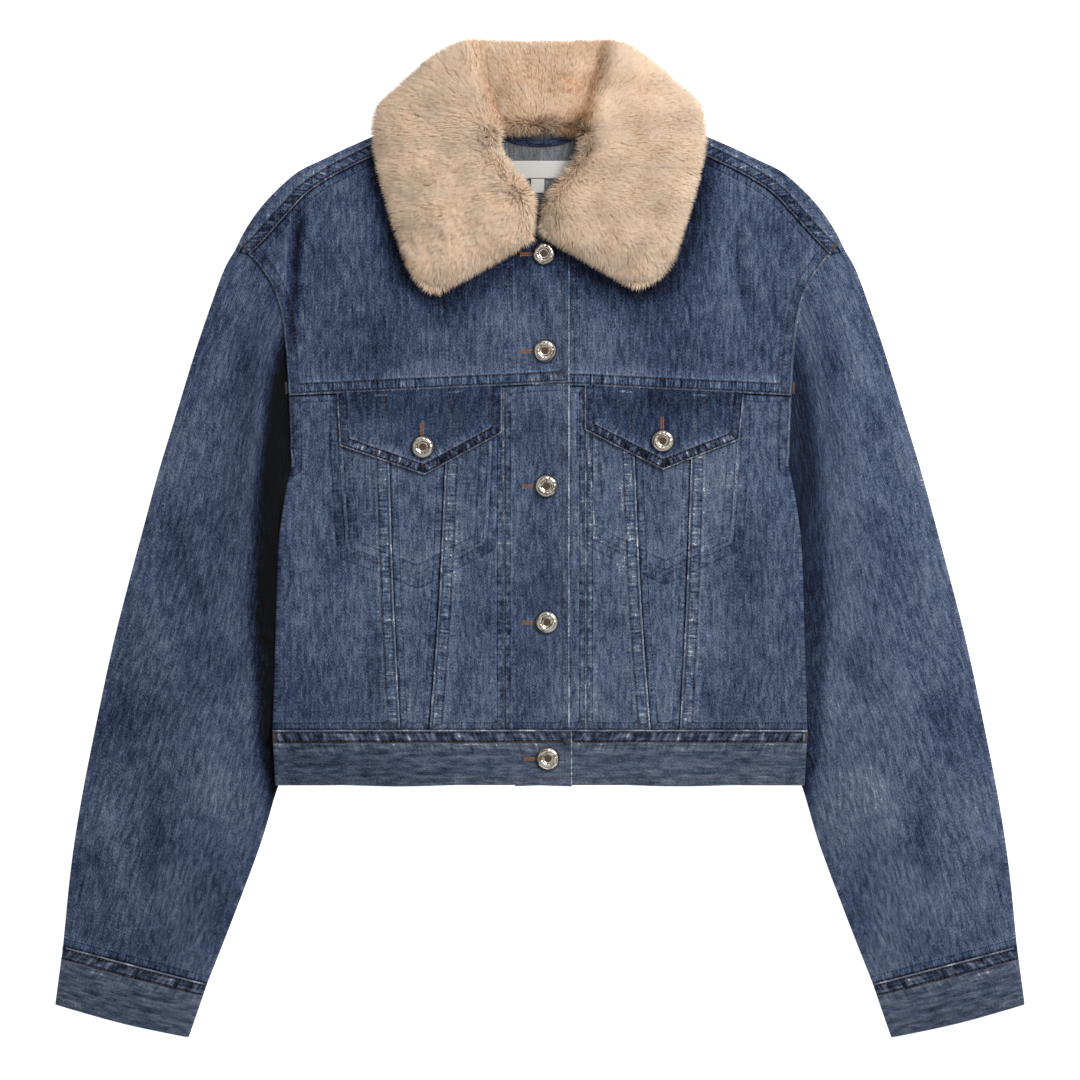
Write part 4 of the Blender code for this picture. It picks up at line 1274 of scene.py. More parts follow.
def make_cuff(side):
    outer, inner = (through(edge) for edge in tube_edges(CUFF))
    top, bottom = np.array([outer[0], inner[0]]), np.array([outer[-1], inner[-1]])
    sag = through([bottom[0], bottom.mean(0) + (-0.8, -1.8), bottom[1]])
    u = graded(119, CUFF_SPACING, first=FOLD_STEPS, last=FOLD_STEPS)
    v = graded(46, CUFF_SPACING)
    plan = placed(patch(top, sag, outer, inner, u, v), side)
    down, across = np.array(v)[:, None], np.array(u)[None, :]
    grain = (np.broadcast_to(down * 46, plan.shape[:2]), np.broadcast_to(across * 119, plan.shape[:2]))
    x, y = plan[..., 0], plan[..., 1]
    creases = crease_height(x, y, CUFF_CREASES[side])
    # Painted shade and highlights of the cuff's wrinkles.
    tone = wrinkle_shading(x, y, CUFF_CREASES[side], 2.4)
    swell = SLEEVE_SWELL * SWELL_AT_CUFF * np.sin(math.pi * across) ** 0.75
    upper = layer(plan, FLAT + CUFF_RISE + swell + creases + 0.3 * rolling(x * 3, y * 3), grain, tone)
    upper[:, (0, -1), C["z"]] = FLAT
    sew(upper, "waist", placed(top, side))
    sew(upper, "turned", placed(sag, side))
    upper[:, (0, -1), C["z"]] = FLAT
    lower = layer(plan, 0.0, grain)[:, under_columns(plan.shape[1], CUFF_SPACING)]
    layers = [(folded_far(folded(grid, up), up), up) for grid, up in ((upper, 1), (lower, -1))]
    return cloth(f"cuff_{SIDE_NAMES[side]}", layers, band_denim, BAND_WALL)


for each in (RIGHT, LEFT):
    made = make_cuff(each)
    print(made.name, len(made.data.polygons), "faces")

# %% [markdown]
# ## Pocket flaps
# Each flap is cut as a point and hangs from the yoke seam. It has seen less washing than the
# fronts, so it is darker, and its double-stitched hem is the most puckered seam of all.

# %% Pocket flaps
FLAP = {
    RIGHT: (table("x y", (30.4, 85.2), (92, 51.6), (160, 75)), 162.4),
    LEFT: (table("x y", (35.6, 87.6), (98, 55.6), (159.2, 79.6)), 163.2),
}
FLAP_CLEARANCE = 1.3
FLAP_SPACING = 1.7
FLAP_TONE = 0.01
FLAP_TOP_SHADE = -0.12


def make_flap(side):
    lower, top_outer_x = FLAP[side]
    corner, tip, far_corner = points(lower)
    top = np.stack([np.linspace(corner[0], top_outer_x, 40)] * 2, axis=1)
    top[:, 1] = yoke_seam_y(top[:, 0], side) + UNDERLAP * 0.6
    to_tip, from_tip = np.linalg.norm(tip - corner), np.linalg.norm(far_corner - tip)
    tip_share = to_tip / (to_tip + from_tip)
    width = top_outer_x - corner[0]
    u = np.concatenate([
        graded(width * tip_share, FLAP_SPACING)[:-1] * tip_share,
        tip_share + graded(width * (1 - tip_share), FLAP_SPACING) * (1 - tip_share),
    ])
    bottom = np.array([corner, tip, far_corner])
    left_side, right_side = np.array([bottom[0], top[0]]), np.array([bottom[-1], top[-1]])
    plan = placed(patch(bottom, top, left_side, right_side, u, graded(55, FLAP_SPACING)), side)

    def height(x, y):
        pocket = POCKET_RISE * smooth(pocket_inside(x, y, side) / POCKET_EDGE)
        return front_height(x, y, side, DENIM_WALL + FLAP_CLEARANCE) + pocket

    def tone(_, y):
        return FLAP_TONE + FLAP_TOP_SHADE * smooth((y - 88) / 22)

    grid = layer(plan, height, tone=tone)
    sew(grid, "hem", placed(bottom, side))
    sew(grid, "flap_side", placed(left_side, side))
    sew(grid, "flap_side", placed(right_side, side))
    y, x = plan[..., 1], plan[..., 0]
    sunk = 2.1 * (1 - smooth((yoke_seam_y(x * side, side) - y - 0.2) / 7))
    grid[..., C["z"]] -= sunk
    return cloth(f"pocket_flap_{SIDE_NAMES[side]}", [(grid, 1)], dark_denim)


for each in (RIGHT, LEFT):
    made = make_flap(each)
    print(made.name, len(made.data.polygons), "faces")

# %% [markdown]
# ## Neck pieces
# Inside the back neck are a hanger loop, cut from the dark denim, and a woven label with a size tab
# below it. Both labels are left blank.

# %% Neck pieces
NECK_TOP = 2.5
NECK_WALL = 1.0
LOOP = table("x y", (-30, 323.5), (-18, 319), (0, 317), (18, 319), (30, 323.5))
LOOP_WIDTH = 6.0
LABEL_BOX = (-29, 29, 288.6, 302.8)
TAB_BOX = (-7.2, 3.4, 277, 288.2)
LABEL_THREAD_MM = 0.55


def satin(name, colour):
    look, tree, shader = new_material(name)
    place = add_node(tree, "ShaderNodeUVMap", uv_map="grain").outputs[0]
    weave = add_node(tree, "ShaderNodeTexWave", {"Vector": place, "Scale": wave_scale(LABEL_THREAD_MM)})
    bump = add_node(tree, "ShaderNodeBump", {"Height": weave.outputs["Fac"], "Distance": 0.05 * MM})
    tree.links.new(bump.outputs[0], shader.inputs["Normal"])
    shader.inputs["Base Color"].default_value = linear(colour)
    shader.inputs["Roughness"].default_value = 0.45
    return look


def box_piece(name, box, looks):
    x0, x1, y0, y1 = box
    bottom, top = np.array([(x0, y0), (x1, y0)]), np.array([(x0, y1), (x1, y1)])
    sides = np.array([bottom[0], top[0]]), np.array([bottom[1], top[1]])
    plan = patch(bottom, top, *sides, np.linspace(0, 1, 24), np.linspace(0, 1, 12))
    x, y = plan[..., 0], plan[..., 1]
    curled = NECK_TOP + 0.25 * ((y - y0) / (y1 - y0)) * np.cos(x / 6.0) + 0.25
    return cloth(name, [(layer(plan, curled), 1)], looks, NECK_WALL, looks)


label_satin = satin("woven_label_satin", "C4C1BD")
loop_line = through(points(LOOP))
share = np.linspace(-0.5, 0.5, 9)
loop_plan = loop_line[None] + np.stack([np.zeros(9), share * LOOP_WIDTH], axis=1)[:, None]
loop_round = NECK_TOP + 0.7 * (1 - (2 * share) ** 2)[:, None] * np.ones(len(loop_line))
loop_grid = layer(loop_plan, loop_round, (loop_plan[..., 1], loop_plan[..., 0]))
sew(loop_grid, "turned", loop_plan[0])
sew(loop_grid, "turned", loop_plan[-1])
loop_grid[..., C["edge"]] = 0.1
loop_grid[..., C["tone"]] = -0.1
cloth("hanger_loop", [(loop_grid, 1)], dark_denim, NECK_WALL)
box_piece("neck_label", LABEL_BOX, label_satin)
box_piece("size_tab", TAB_BOX, label_satin)
print("neck pieces made")

# %% [markdown]
# ## Buttons
# The shank buttons are stamped from thin brass and plated: a bright domed ring with tiny facets
# round a sunk brown disc. Each is turned on a lathe-like profile and set on the cloth under it.

# %% Buttons
BUTTON_PROFILE = table(
    "r z",
    (0, 3.0),
    (1.2, 3.05),
    (2.6, 2.95),
    (3.9, 2.9),
    (4.1, 3.1),
    (4.25, 3.9),
    (4.5, 4.3),
    (5.1, 4.65),
    (5.8, 4.8),
    (6.6, 4.6),
    (7.6, 4.15),
    (8.4, 3.4),
    (9.0, 2.5),
    (9.4, 1.7),
    (9.35, 1.2),
    (9.0, 0.7),
    (8.4, 0.3),
    (0, 0.3),
)
BUTTON_FACETS = 96
FACET_DEPTH = 0.1
FACET_WAVES = 12
FRONT_BUTTONS = table("x y", (3.2, 228.4), (4, 150.8), (5.2, 42.8), (5.6, -66), (6.4, -174.8))
POCKET_BUTTONS = table("x y", (-93.6, 74), (98.1, 78.8))
BUTTON_RADIUS = 9.4


def blend(tree, share, first, second):
    """A colour between two, each a hex value or a socket."""
    first, second = (linear(c) if isinstance(c, str) else c for c in (first, second))
    return add_node(tree, "ShaderNodeMix", {0: share, 6: first, 7: second}, data_type="RGBA").outputs[2]


def surface_tree():
    """Every outer layer made so far, to drop buttons and stitches on."""
    corners, polygons = [], []
    for obj in pieces.values():
        start = len(corners)
        corners += [v.co.copy() for v in obj.data.vertices]
        polygons += [tuple(start + i for i in p.vertices) for p in obj.data.polygons]
    return BVHTree.FromPolygons(corners, polygons)


cloth_tree = surface_tree()


def drop(x, y, radius=0.0):
    """The height of the cloth under a spot of this radius, in millimetres."""
    around = [(radius * math.cos(a), radius * math.sin(a)) for a in np.linspace(0, 6.3, 9)] if radius else []
    found = []
    for dx, dy in [(0.0, 0.0), *around]:
        hit = cloth_tree.ray_cast(Vector(((x + dx) * MM, (y + dy) * MM, 0.1)), Vector((0, 0, -1)))[0]
        if hit is not None:
            found.append(hit.z / MM)
    return max(found) if found else FLAT


def plated_metal():
    """Plating with brown patches on the ring, partly tarnish and partly painted dark reflections, round a
    sunk brown disc, with a greyer rim.
    """
    look, tree, shader = new_material("nickel_plate_tarnish_and_painted_reflections")
    place = add_node(tree, "ShaderNodeAttribute", attribute_name="turned").outputs["Vector"]
    radius, turn, number = add_node(tree, "ShaderNodeSeparateXYZ", {0: place}).outputs
    spot = add_node(tree, "ShaderNodeCombineXYZ", {0: turn, 1: radius, 2: number}).outputs[0]
    patches = add_node(tree, "ShaderNodeTexNoise", {"Vector": spot, "Scale": 1.1, "Detail": 3.0})
    tarnish_and_reflection = step(tree, patches.outputs["Fac"], 0.46, 0.62)
    sunk = step(tree, radius, 2.6, 3.3, 1.0, 0.0)
    rim = step(tree, radius, 8.6, 9.3)
    ring = blend(tree, tarnish_and_reflection, "DDD6CC", "75624F")
    disc = blend(tree, sunk, ring, "6E5C4E")
    tree.links.new(blend(tree, rim, disc, "8C857D"), shader.inputs["Base Color"])
    shader.inputs["Metallic"].default_value = 1.0
    shader.inputs["Roughness"].default_value = 0.24
    return look


plate = plated_metal()


def make_button(name, number, x, y):
    base = drop(x, y, BUTTON_RADIUS * 0.8)
    radii, heights = BUTTON_PROFILE["r"], BUTTON_PROFILE["z"]
    bm = bmesh.new()
    turned = bm.verts.layers.float_vector.new("turned")
    rings = []
    for r, z in zip(radii, heights):
        around = []
        on_ring = 1.0 if 4.5 < r < 9.1 and z > 1.8 else 0.0
        turns = np.linspace(0, 2 * math.pi, BUTTON_FACETS, endpoint=False) if r > 0 else (0.0,)
        for turn in turns:
            rise = FACET_DEPTH * on_ring * math.cos(turn * FACET_WAVES)
            co = Vector((x + r * math.cos(turn), y + r * math.sin(turn), base + z + rise)) * MM
            vert = bm.verts.new(co)
            vert[turned] = (r, math.cos(turn + number) * 1.3, number * 3.0 + math.sin(turn + number))
            around.append(vert)
        rings.append(around)
    for inner, outer in zip(rings, rings[1:]):
        for i in range(BUTTON_FACETS):
            j = (i + 1) % BUTTON_FACETS
            if len(inner) == 1:
                bm.faces.new((inner[0], outer[i], outer[j]))
            elif len(outer) == 1:
                bm.faces.new((inner[i], outer[0], inner[j]))
            else:
                bm.faces.new((inner[i], outer[i], outer[j], inner[j]))
    bmesh.ops.recalc_face_normals(bm, faces=bm.faces)
    mesh = bpy.data.meshes.new(name)
    bm.to_mesh(mesh)
    bm.free()
    mesh.shade_smooth()
    return show(f"{name}_metal", mesh, (plate,))


buttons = {}
for number, (x, y) in enumerate(points(FRONT_BUTTONS), 1):
    buttons[f"button_front_{number}"] = make_button(f"button_front_{number}", number, x, y)
for number, (side, (x, y)) in enumerate(zip(("right", "left"), points(POCKET_BUTTONS)), 6):
    buttons[f"button_pocket_{side}"] = make_button(f"button_pocket_{side}", number, x, y)
print("buttons:", ", ".join(buttons))

# %% [markdown]
# ## Stitches
# Every seam is sewn with two rows of brown thread, sunk a little into the cloth. A row is a line of
# points on the cloth, and Geometry Nodes lays one small stretched ball of thread along the row at
# each. Buttonholes and bar tacks are the same thread, laid close together across a short bar.

# %% Stitch paths
STITCH_SPACING = 3.1
STITCH_LENGTH = 2.3
STITCH_SINK = 0.1
ROWS_AT = (0.19, 0.84)
CUFF_HEM = 6.5


def shifted(path, away, towards):
    """A line this far to one side of the path, on the side of a point."""
    path = np.array(path, float)
    run = np.gradient(path, axis=0)
    normal = np.stack([-run[:, 1], run[:, 0]], axis=1)
    normal /= np.linalg.norm(normal, axis=1, keepdims=True)
    middle = len(path) // 2
    if (np.array(towards) - path[middle]) @ normal[middle] < 0:
        normal = -normal
    return path + normal * away


def dense(path, spacing=2.0):
    path = np.array(path, float)
    size = lengths(path)[-1]
    return at_shares(path, np.linspace(0, 1, max(3, round(size / spacing))))


stitch_rows = []


def stitch(path, gap=STITCH_SPACING):
    """A row of stitches along the path."""
    path = np.array(path, float)
    size = lengths(path)[-1]
    places = at_shares(path, (np.arange(int(size / gap)) + 0.5) / int(size / gap))
    runs = np.gradient(places, axis=0)
    for place, run in zip(places, runs):
        stitch_rows.append((*place, *run / np.linalg.norm(run)))


def stitch_seam(kind, path, towards, rows=ROWS_AT):
    width = SEAM_KINDS[kind]["width"]
    for row in rows:
        stitch(shifted(dense(path), row * width, towards))


for side in (RIGHT, LEFT):
    seam_x = np.linspace(-LAP[side] + 1, ARMHOLE["x"][FRONT_YOKE_ROW] - 2, 60)
    yoke_line = placed(np.stack([seam_x, yoke_seam_y(seam_x, side)], axis=1), side)
    stitch_seam("yoke", yoke_line, (side * 100, 300))
    body_side = placed(armhole[SHOULDER_SEAM_ROW * LINE_STEPS : UNDERARM_ROW * LINE_STEPS], side)
    stitch_seam("armhole", body_side, (side * 100, 120))
    stitch_seam("shoulder", placed(shoulder_seam, side), placed([(150, 400)], side)[0])
    for line, towards in ((inner_v_seam, (20, 0)), (outer_v_seam, (200, 0))):
        stitch_seam("strip", placed(line, side), placed([towards], side)[0])
    waist = placed([(-BAND_LAP[side] + 2, WAIST_Y + 0.5), (212, WAIST_Y + 0.5)], side)
    stitch_seam("waist", waist, (side * 100, -400))
    stitch(placed([(-BAND_LAP[side] + 3, HEM_Y + 5.5), (208, HEM_Y + 5.5)], side))
    lower, _ = FLAP[side]
    bottom = placed(points(lower), side)
    stitch_seam("hem", bottom[:2], (bottom[1][0], 200))
    stitch_seam("hem", bottom[1:], (bottom[1][0], 200))
    for corner in (bottom[0], bottom[2]):
        flap_side = [corner + (0, 6), (corner[0], yoke_seam_y(corner[0] * side, side) - 2)]
        stitch_seam("flap_side", flap_side, bottom[1])
    lap, seam = -LAP[side] * side, PLACKET_SEAM[side] * side
    if side == RIGHT:
        stitch(shifted(dense([(lap, 232), (lap, WAIST_Y + 3)]), 5.6, (lap - 50, 0)))
        stitch(dense([(lap - 4.0, WAIST_Y - 3), (lap - 4.0, HEM_Y + 6)]))
    stitch(shifted(dense([(seam, 118), (seam, WAIST_Y + 3)]), 2.2, (0, 0)))
    stitch(dense([(FACING_LINE[side], 128), (FACING_LINE[side], 232)]))
    outline = placed(POCKET_OUTLINE[side], side)
    for a, b in zip(outline, outline[1:]):
        stitch(dense([a, b]), 3.4)
    outer, inner = (through(edge) for edge in tube_edges(CUFF))
    top, end = placed([outer[0], inner[0]], side), placed([outer[-1], inner[-1]], side)
    stitch_seam("waist", at_shares(top, (0.02, 0.98)), end.mean(0))
    stitch(shifted(dense(at_shares(end, (0.03, 0.97))), CUFF_HEM, top.mean(0)))
print("stitches:", len(stitch_rows))

# %% [markdown]
# A buttonhole is two close rows of short stitches. On a front it has one more bar across its end.
# A bar tack is a short pair of such rows where a seam takes strain.

# %% Buttonholes and bar tacks
SATIN_SPACING = 0.42
HOLE_ROWS = (-0.85, 0.85)
HOLE_START = BUTTON_RADIUS + 8.5
HOLE_BAR = BUTTON_RADIUS + 9.3
POCKET_HOLE_START = BUTTON_RADIUS + 9.5
HOLE_END = 3.0
TACK_ROWS = (-0.4, 0.4)
satin_rows = []
tack_rows = []


def satin_bar(start, end, offsets, into=satin_rows):
    """Close stitches laid across a bar, in rows at these distances from its line."""
    start, end = np.array(start, float), np.array(end, float)
    run = (end - start) / np.linalg.norm(end - start)
    normal = np.array([-run[1], run[0]])
    shares = np.linspace(0, 1, int(np.linalg.norm(end - start) / SATIN_SPACING))
    for place in at_shares(np.array([start, end]), shares):
        for away in offsets:
            into.append((*(place + normal * away), *normal))


for x, y in points(FRONT_BUTTONS):
    satin_bar((x - HOLE_START, y - 0.5), (x - HOLE_END, y - 0.5), HOLE_ROWS)
    satin_bar((x - HOLE_BAR, y - 2.2), (x - HOLE_BAR, y + 1.2), (0.0,))
for x, y in points(POCKET_BUTTONS):
    satin_bar((x - 0.5, y + POCKET_HOLE_START), (x - 0.5, y + HOLE_END), HOLE_ROWS)
for side in (RIGHT, LEFT):
    for spot, way in (
        ((234, 231.5), (3.5, 6.0)),
        ((202.5, 116.5), (0.5, 9.0)),
        ((212, WAIST_Y - 1.5), (0, -8.0)),
    ):
        spot, way = placed([spot, way], side)
        satin_bar(spot, spot + way, TACK_ROWS, tack_rows)
print("satin stitches:", len(satin_rows))

# %% [markdown]
# The thread itself is a low ball stretched along the row. Its fixed seed keeps each stitch's small
# turn and its own shade the same every time.

# %% Thread
def thread_look(name, colour, other):
    look, tree, shader = new_material(name)
    own = add_node(tree, "ShaderNodeAttribute", attribute_name="shade").outputs["Fac"]
    tree.links.new(blend(tree, own, colour, other), shader.inputs["Base Color"])
    shader.inputs["Roughness"].default_value = 0.7
    return look


def new_tree(name, *sockets):
    tree = bpy.data.node_groups.new(name, "GeometryNodeTree")
    tree.interface.new_socket("Geometry", in_out="INPUT", socket_type="NodeSocketGeometry")
    tree.interface.new_socket("Geometry", in_out="OUTPUT", socket_type="NodeSocketGeometry")
    for socket_name, kind, value in sockets:
        made = tree.interface.new_socket(socket_name, in_out="INPUT", socket_type=kind)
        if value is not None:
            made.default_value = value
    return tree, add_node(tree, "NodeGroupInput"), add_node(tree, "NodeGroupOutput")


def read_attribute(tree, name, data_type):
    read = add_node(tree, "GeometryNodeInputNamedAttribute", {"Name": name}, data_type=data_type)
    return read.outputs["Attribute"]


def finish_tree(tree, end, grown, name, value, material):
    """Keeps a value for each copy, makes the copies real, gives them their material and ends."""
    kept = {"Geometry": grown.outputs[0], "Name": name, "Value": value}
    stored = add_node(tree, "GeometryNodeStoreNamedAttribute", kept, data_type="FLOAT", domain="INSTANCE")
    real = add_node(tree, "GeometryNodeRealizeInstances", {0: stored.outputs[0]})
    looks = {"Geometry": real.outputs[0], "Material": material}
    finished = add_node(tree, "GeometryNodeSetMaterial", looks)
    tree.links.new(finished.outputs[0], end.inputs[0])
    return tree


def stitch_tree():
    tree, start, end = new_tree(
        "thread_stitches",
        ("Length", "NodeSocketFloat", STITCH_LENGTH * MM),
        ("Width", "NodeSocketFloat", 0.8 * MM),
        ("Height", "NodeSocketFloat", 0.5 * MM),
        ("Seed", "NodeSocketInt", 7),
        ("Thread", "NodeSocketMaterial", None),
    )
    ball = add_node(tree, "GeometryNodeMeshUVSphere", {"Segments": 5, "Rings": 3, "Radius": 0.5})
    sizes = {axis: start.outputs[name] for axis, name in enumerate(("Length", "Width", "Height"))}
    size = add_node(tree, "ShaderNodeCombineXYZ", sizes).outputs[0]
    shaped = add_node(tree, "GeometryNodeTransform", {"Geometry": ball.outputs["Mesh"], "Scale": size})
    way = read_attribute(tree, "way", "FLOAT_VECTOR")
    turn = add_node(tree, "FunctionNodeAlignRotationToVector", {"Vector": way}, axis="X", pivot_axis="Z")
    wobble = add_node(
        tree,
        "FunctionNodeRandomValue",
        {"Min": (0, 0, -0.16), "Max": (0, 0, 0.16), "Seed": start.outputs["Seed"]},
        data_type="FLOAT_VECTOR",
    )
    turned = add_node(tree, "FunctionNodeRotateRotation", {0: turn.outputs[0], 1: wobble.outputs["Value"]})
    stretch = add_node(
        tree,
        "FunctionNodeRandomValue",
        {"Min": (0.8, 0.85, 0.9), "Max": (1.1, 1.15, 1.1), "Seed": start.outputs["Seed"]},
        data_type="FLOAT_VECTOR",
    )
    laid = add_node(
        tree,
        "GeometryNodeInstanceOnPoints",
        {
            "Points": start.outputs["Geometry"],
            "Instance": shaped.outputs[0],
            "Rotation": turned.outputs[0],
            "Scale": stretch.outputs["Value"],
        },
    )
    shade = add_node(tree, "FunctionNodeRandomValue", {"Seed": start.outputs["Seed"]}, data_type="FLOAT")
    return finish_tree(tree, end, laid, "shade", shade.outputs[1], start.outputs["Thread"])


def plain_mesh(obj, name):
    """The object's evaluated mesh as a plain new object."""
    bpy.context.view_layer.update()
    graph = bpy.context.evaluated_depsgraph_get()
    mesh = bpy.data.meshes.new_from_object(obj.evaluated_get(graph))
    mesh.name = name
    bpy.data.objects.remove(obj)
    return show(name, mesh, ())


def set_inputs(modifier, values):
    for item in modifier.node_group.interface.items_tree:
        if item.in_out == "INPUT" and item.name in values:
            modifier[item.identifier] = values[item.name]


def lay_thread(name, rows, look, length, seed):
    rows = np.array(rows)
    z = np.array([drop(x, y) for x, y in rows[:, :2]]) - STITCH_SINK
    mesh = bpy.data.meshes.new(name)
    mesh.from_pydata((np.column_stack([rows[:, :2], z]) * MM).tolist(), [], [])
    way = mesh.attributes.new("way", "FLOAT_VECTOR", "POINT")
    flat_way = np.column_stack([rows[:, 2:], np.zeros(len(rows))])
    way.data.foreach_set("vector", flat_way.astype(np.float32).ravel())
    obj = bpy.data.objects.new(name, mesh)
    bpy.context.scene.collection.objects.link(obj)
    modifier = obj.modifiers.new("Stitches", "NODES")
    modifier.node_group = stitches_group
    set_inputs(modifier, {"Length": length * MM, "Seed": seed, "Thread": look})
    return plain_mesh(obj, name)


stitches_group = stitch_tree()
brown_thread = thread_look("brown_cotton_thread", "241C20", "55402F")
hole_thread = thread_look("tan_cotton_thread", "5E3A20", "8F5D30")
for laid in (
    lay_thread("seam_stitches", stitch_rows, brown_thread, STITCH_LENGTH, 7),
    lay_thread("buttonhole_thread", satin_rows, hole_thread, 1.7, 11),
    lay_thread("bar_tacks", tack_rows, brown_thread, 2.2, 13),
):
    print(laid.name, len(laid.data.polygons), "faces")

# %% [markdown]
# ## Fur collar
# The collar is a deep-pile fake fur: a knitted backing, stuffed softly over the undercollar, with
# hairs about 10 mm long. The backing is a domed skin along the collar's outline, drawn in so that
# the hairs, and not the skin, make its edge. The hairs are combed outwards from the neck and gather
# in tufts, so brown gaps open between the tufts while their tips stay pale.

# %% Collar skin
COLLAR_BACK = table(
    "inner_x outer_x outer_y",
    (28, 127, 348),
    (24, 108.5, 365),
    (18, 85.5, 385.5),
    (12, 61, 397.4),
    (6, 30, 398),
    (0, 0, 398),
)
COLLAR_LEAF = {
    RIGHT: table(
        "inner_x inner_y outer_x outer_y",
        (6.4, 239, 76, 196),
        (4.5, 246, 90, 199),
        (3.2, 254, 101, 209),
        (2.8, 268, 109, 226),
        (8.5, 281, 117, 252),
        (26.4, 302.8, 127, 288),
        (31.5, 316, 132.6, 315),
        (31, 326.8, 132.6, 334),
    ),
    LEFT: table(
        "inner_x inner_y outer_x outer_y",
        (1, 243, 68, 205.5),
        (0, 250, 81, 203),
        (-0.5, 256, 95, 209),
        (0.2, 266, 107.5, 223.5),
        (7, 280, 114, 246),
        (24, 301, 124, 280),
        (31, 316, 131.2, 312),
        (31, 326.8, 131.4, 332),
    ),
}
COLLAR_GAP = 0.7
LEAF_STEP = table("y x", (300, -60), (318, 10), (324, 28), (328, 35), (362, 46), (384, 50), (398, 58))
LEAF_STEP_WIDTH = 16
SKIN_INSET = {"inner": 6.0, "outer": 6.6, "ends": 6.5}
NECK_COVER = 2.2
SKIN_TOP_LEAF = 19.5
SKIN_TOP_BACK = 10.5
SKIN_FLOOR_LEAF = 10.4
SKIN_FLOOR_BACK = 2.6
SKIN_RIM = 3.0
SKIN_ROUND = 17.0
SKIN_LUMPS = table(
    "length turn start height",
    (46, 20, 0.2, 0.9),
    (33, 95, 1.4, 0.8),
    (24, 150, 2.6, 0.6),
)
ACROSS_COLUMNS = 44
COLLAR_ROWS = 260


def leaf_share(x, y, width=LEAF_STEP_WIDTH):
    """1 on the folded leaves and 0 on the low stretch behind the neck."""
    return smooth((np.abs(x) - np.interp(y, LEAF_STEP["y"], LEAF_STEP["x"])) / width + 0.5)


def collar_edges():
    """The inner and the outer line of the collar, from the right leaf's end to the left's."""
    halves = []
    for side in (RIGHT, LEFT):
        leaf = COLLAR_LEAF[side]
        inner = np.stack([leaf["inner_x"], leaf["inner_y"]], axis=1)
        outer = np.stack([leaf["outer_x"], leaf["outer_y"]], axis=1)
        back_x = COLLAR_BACK["inner_x"]
        inner = np.concatenate([inner, np.stack([back_x, neck_y(back_x) + COLLAR_GAP], axis=1)])
        outer = np.concatenate([outer, np.stack([COLLAR_BACK["outer_x"], COLLAR_BACK["outer_y"]], axis=1)])
        halves.append((placed(inner, side), placed(outer, side)))
    (right_in, right_out), (left_in, left_out) = halves
    inner = through(np.concatenate([right_in, left_in[-2::-1]]), 12)
    return inner, through(np.concatenate([right_out, left_out[-2::-1]]), 12)


def skin_height(x, y, from_edge):
    leaf = leaf_share(x, y)
    low = SKIN_FLOOR_BACK + (SKIN_FLOOR_LEAF - SKIN_FLOOR_BACK) * leaf
    top = SKIN_TOP_BACK + (SKIN_TOP_LEAF - SKIN_TOP_BACK) * leaf
    dome = np.sqrt(1 - (1 - np.clip(from_edge / SKIN_ROUND, 0, 1)) ** 2)
    lumps = np.zeros(x.shape)
    for length, turn, start, height in zip(*SKIN_LUMPS.values()):
        turn = math.radians(turn)
        lumps += height * np.sin(2 * math.pi * (x * math.cos(turn) + y * math.sin(turn)) / length + start)
    rim = low + SKIN_RIM
    return low, rim, rim + (top - rim) * dome + lumps * dome


def by_count(line, count):
    """The line with this many points, spread evenly by the number of its own points."""
    own = np.arange(len(line))
    wanted = np.linspace(0, 1, count) * (len(line) - 1)
    return np.stack([np.interp(wanted, own, axis) for axis in line.T], axis=1)


def collar_skin():
    inner, outer = (by_count(line, COLLAR_ROWS) for line in collar_edges())
    width = np.linalg.norm(outer - inner, axis=1)
    middle = lengths((inner + outer) / 2)
    keep = (middle > SKIN_INSET["ends"]) & (middle < middle[-1] - SKIN_INSET["ends"])
    inner, outer, width, middle = inner[keep], outer[keep], width[keep][:, None], middle[keep]
    behind = smooth((40 - np.abs(inner[:, :1])) / 12) * (inner[:, 1:] > 318)
    first = (SKIN_INSET["inner"] - NECK_COVER * behind) / width
    last = 1 - SKIN_INSET["outer"] / width
    bend = 0.5 - 0.5 * np.cos(math.pi * np.linspace(0, 1, ACROSS_COLUMNS))[None, :]
    across = first + (last - first) * bend
    plan = inner[:, None] + (outer - inner)[:, None] * across[..., None]
    from_end = np.minimum(middle - middle[0], middle[-1] - middle)[:, None]
    beside = np.minimum((across - first) * width, (last - across) * width)
    corner = np.clip(SKIN_ROUND - beside, 0, None) ** 2 + np.clip(SKIN_ROUND - from_end, 0, None) ** 2
    from_edge = np.clip(SKIN_ROUND - np.sqrt(corner), 0, None)
    low, rim, top = skin_height(plan[..., 0], plan[..., 1], from_edge)
    border = np.zeros(across.shape, bool)
    border[0] = border[-1] = border[:, 0] = border[:, -1] = True
    upper = layer(plan, np.where(border, rim, top))
    lower = layer(plan, np.where(border, rim, low))
    out = (outer - inner) / width
    run = np.gradient((inner + outer) / 2, axis=0)
    run /= np.linalg.norm(run, axis=1, keepdims=True)
    outward = smooth(across / 0.22)[..., None]
    end_pull = np.exp(-from_end / 22) * np.where(np.arange(len(middle)) < len(middle) / 2, -1, 1)[:, None]
    comb = out[:, None] * outward + run[:, None] * (1.5 * end_pull)[..., None]
    comb /= np.maximum(np.linalg.norm(comb, axis=-1, keepdims=True), 1)
    for grid in (upper, lower):
        grid[..., C["along"]], grid[..., C["across"]] = comb[..., 0], comb[..., 1]
        grid[..., C["tone"]] = across
    return [(upper, 1), (lower, -1)]


fur_backing, _, backing_shader = new_material("knitted_fur_backing")
backing_shader.inputs["Base Color"].default_value = linear("B48E70")
backing_shader.inputs["Roughness"].default_value = 0.95
skin = show("collar_backing", mesh_of("collar_backing", collar_skin()), (fur_backing,))
print("collar skin faces:", len(skin.data.polygons))

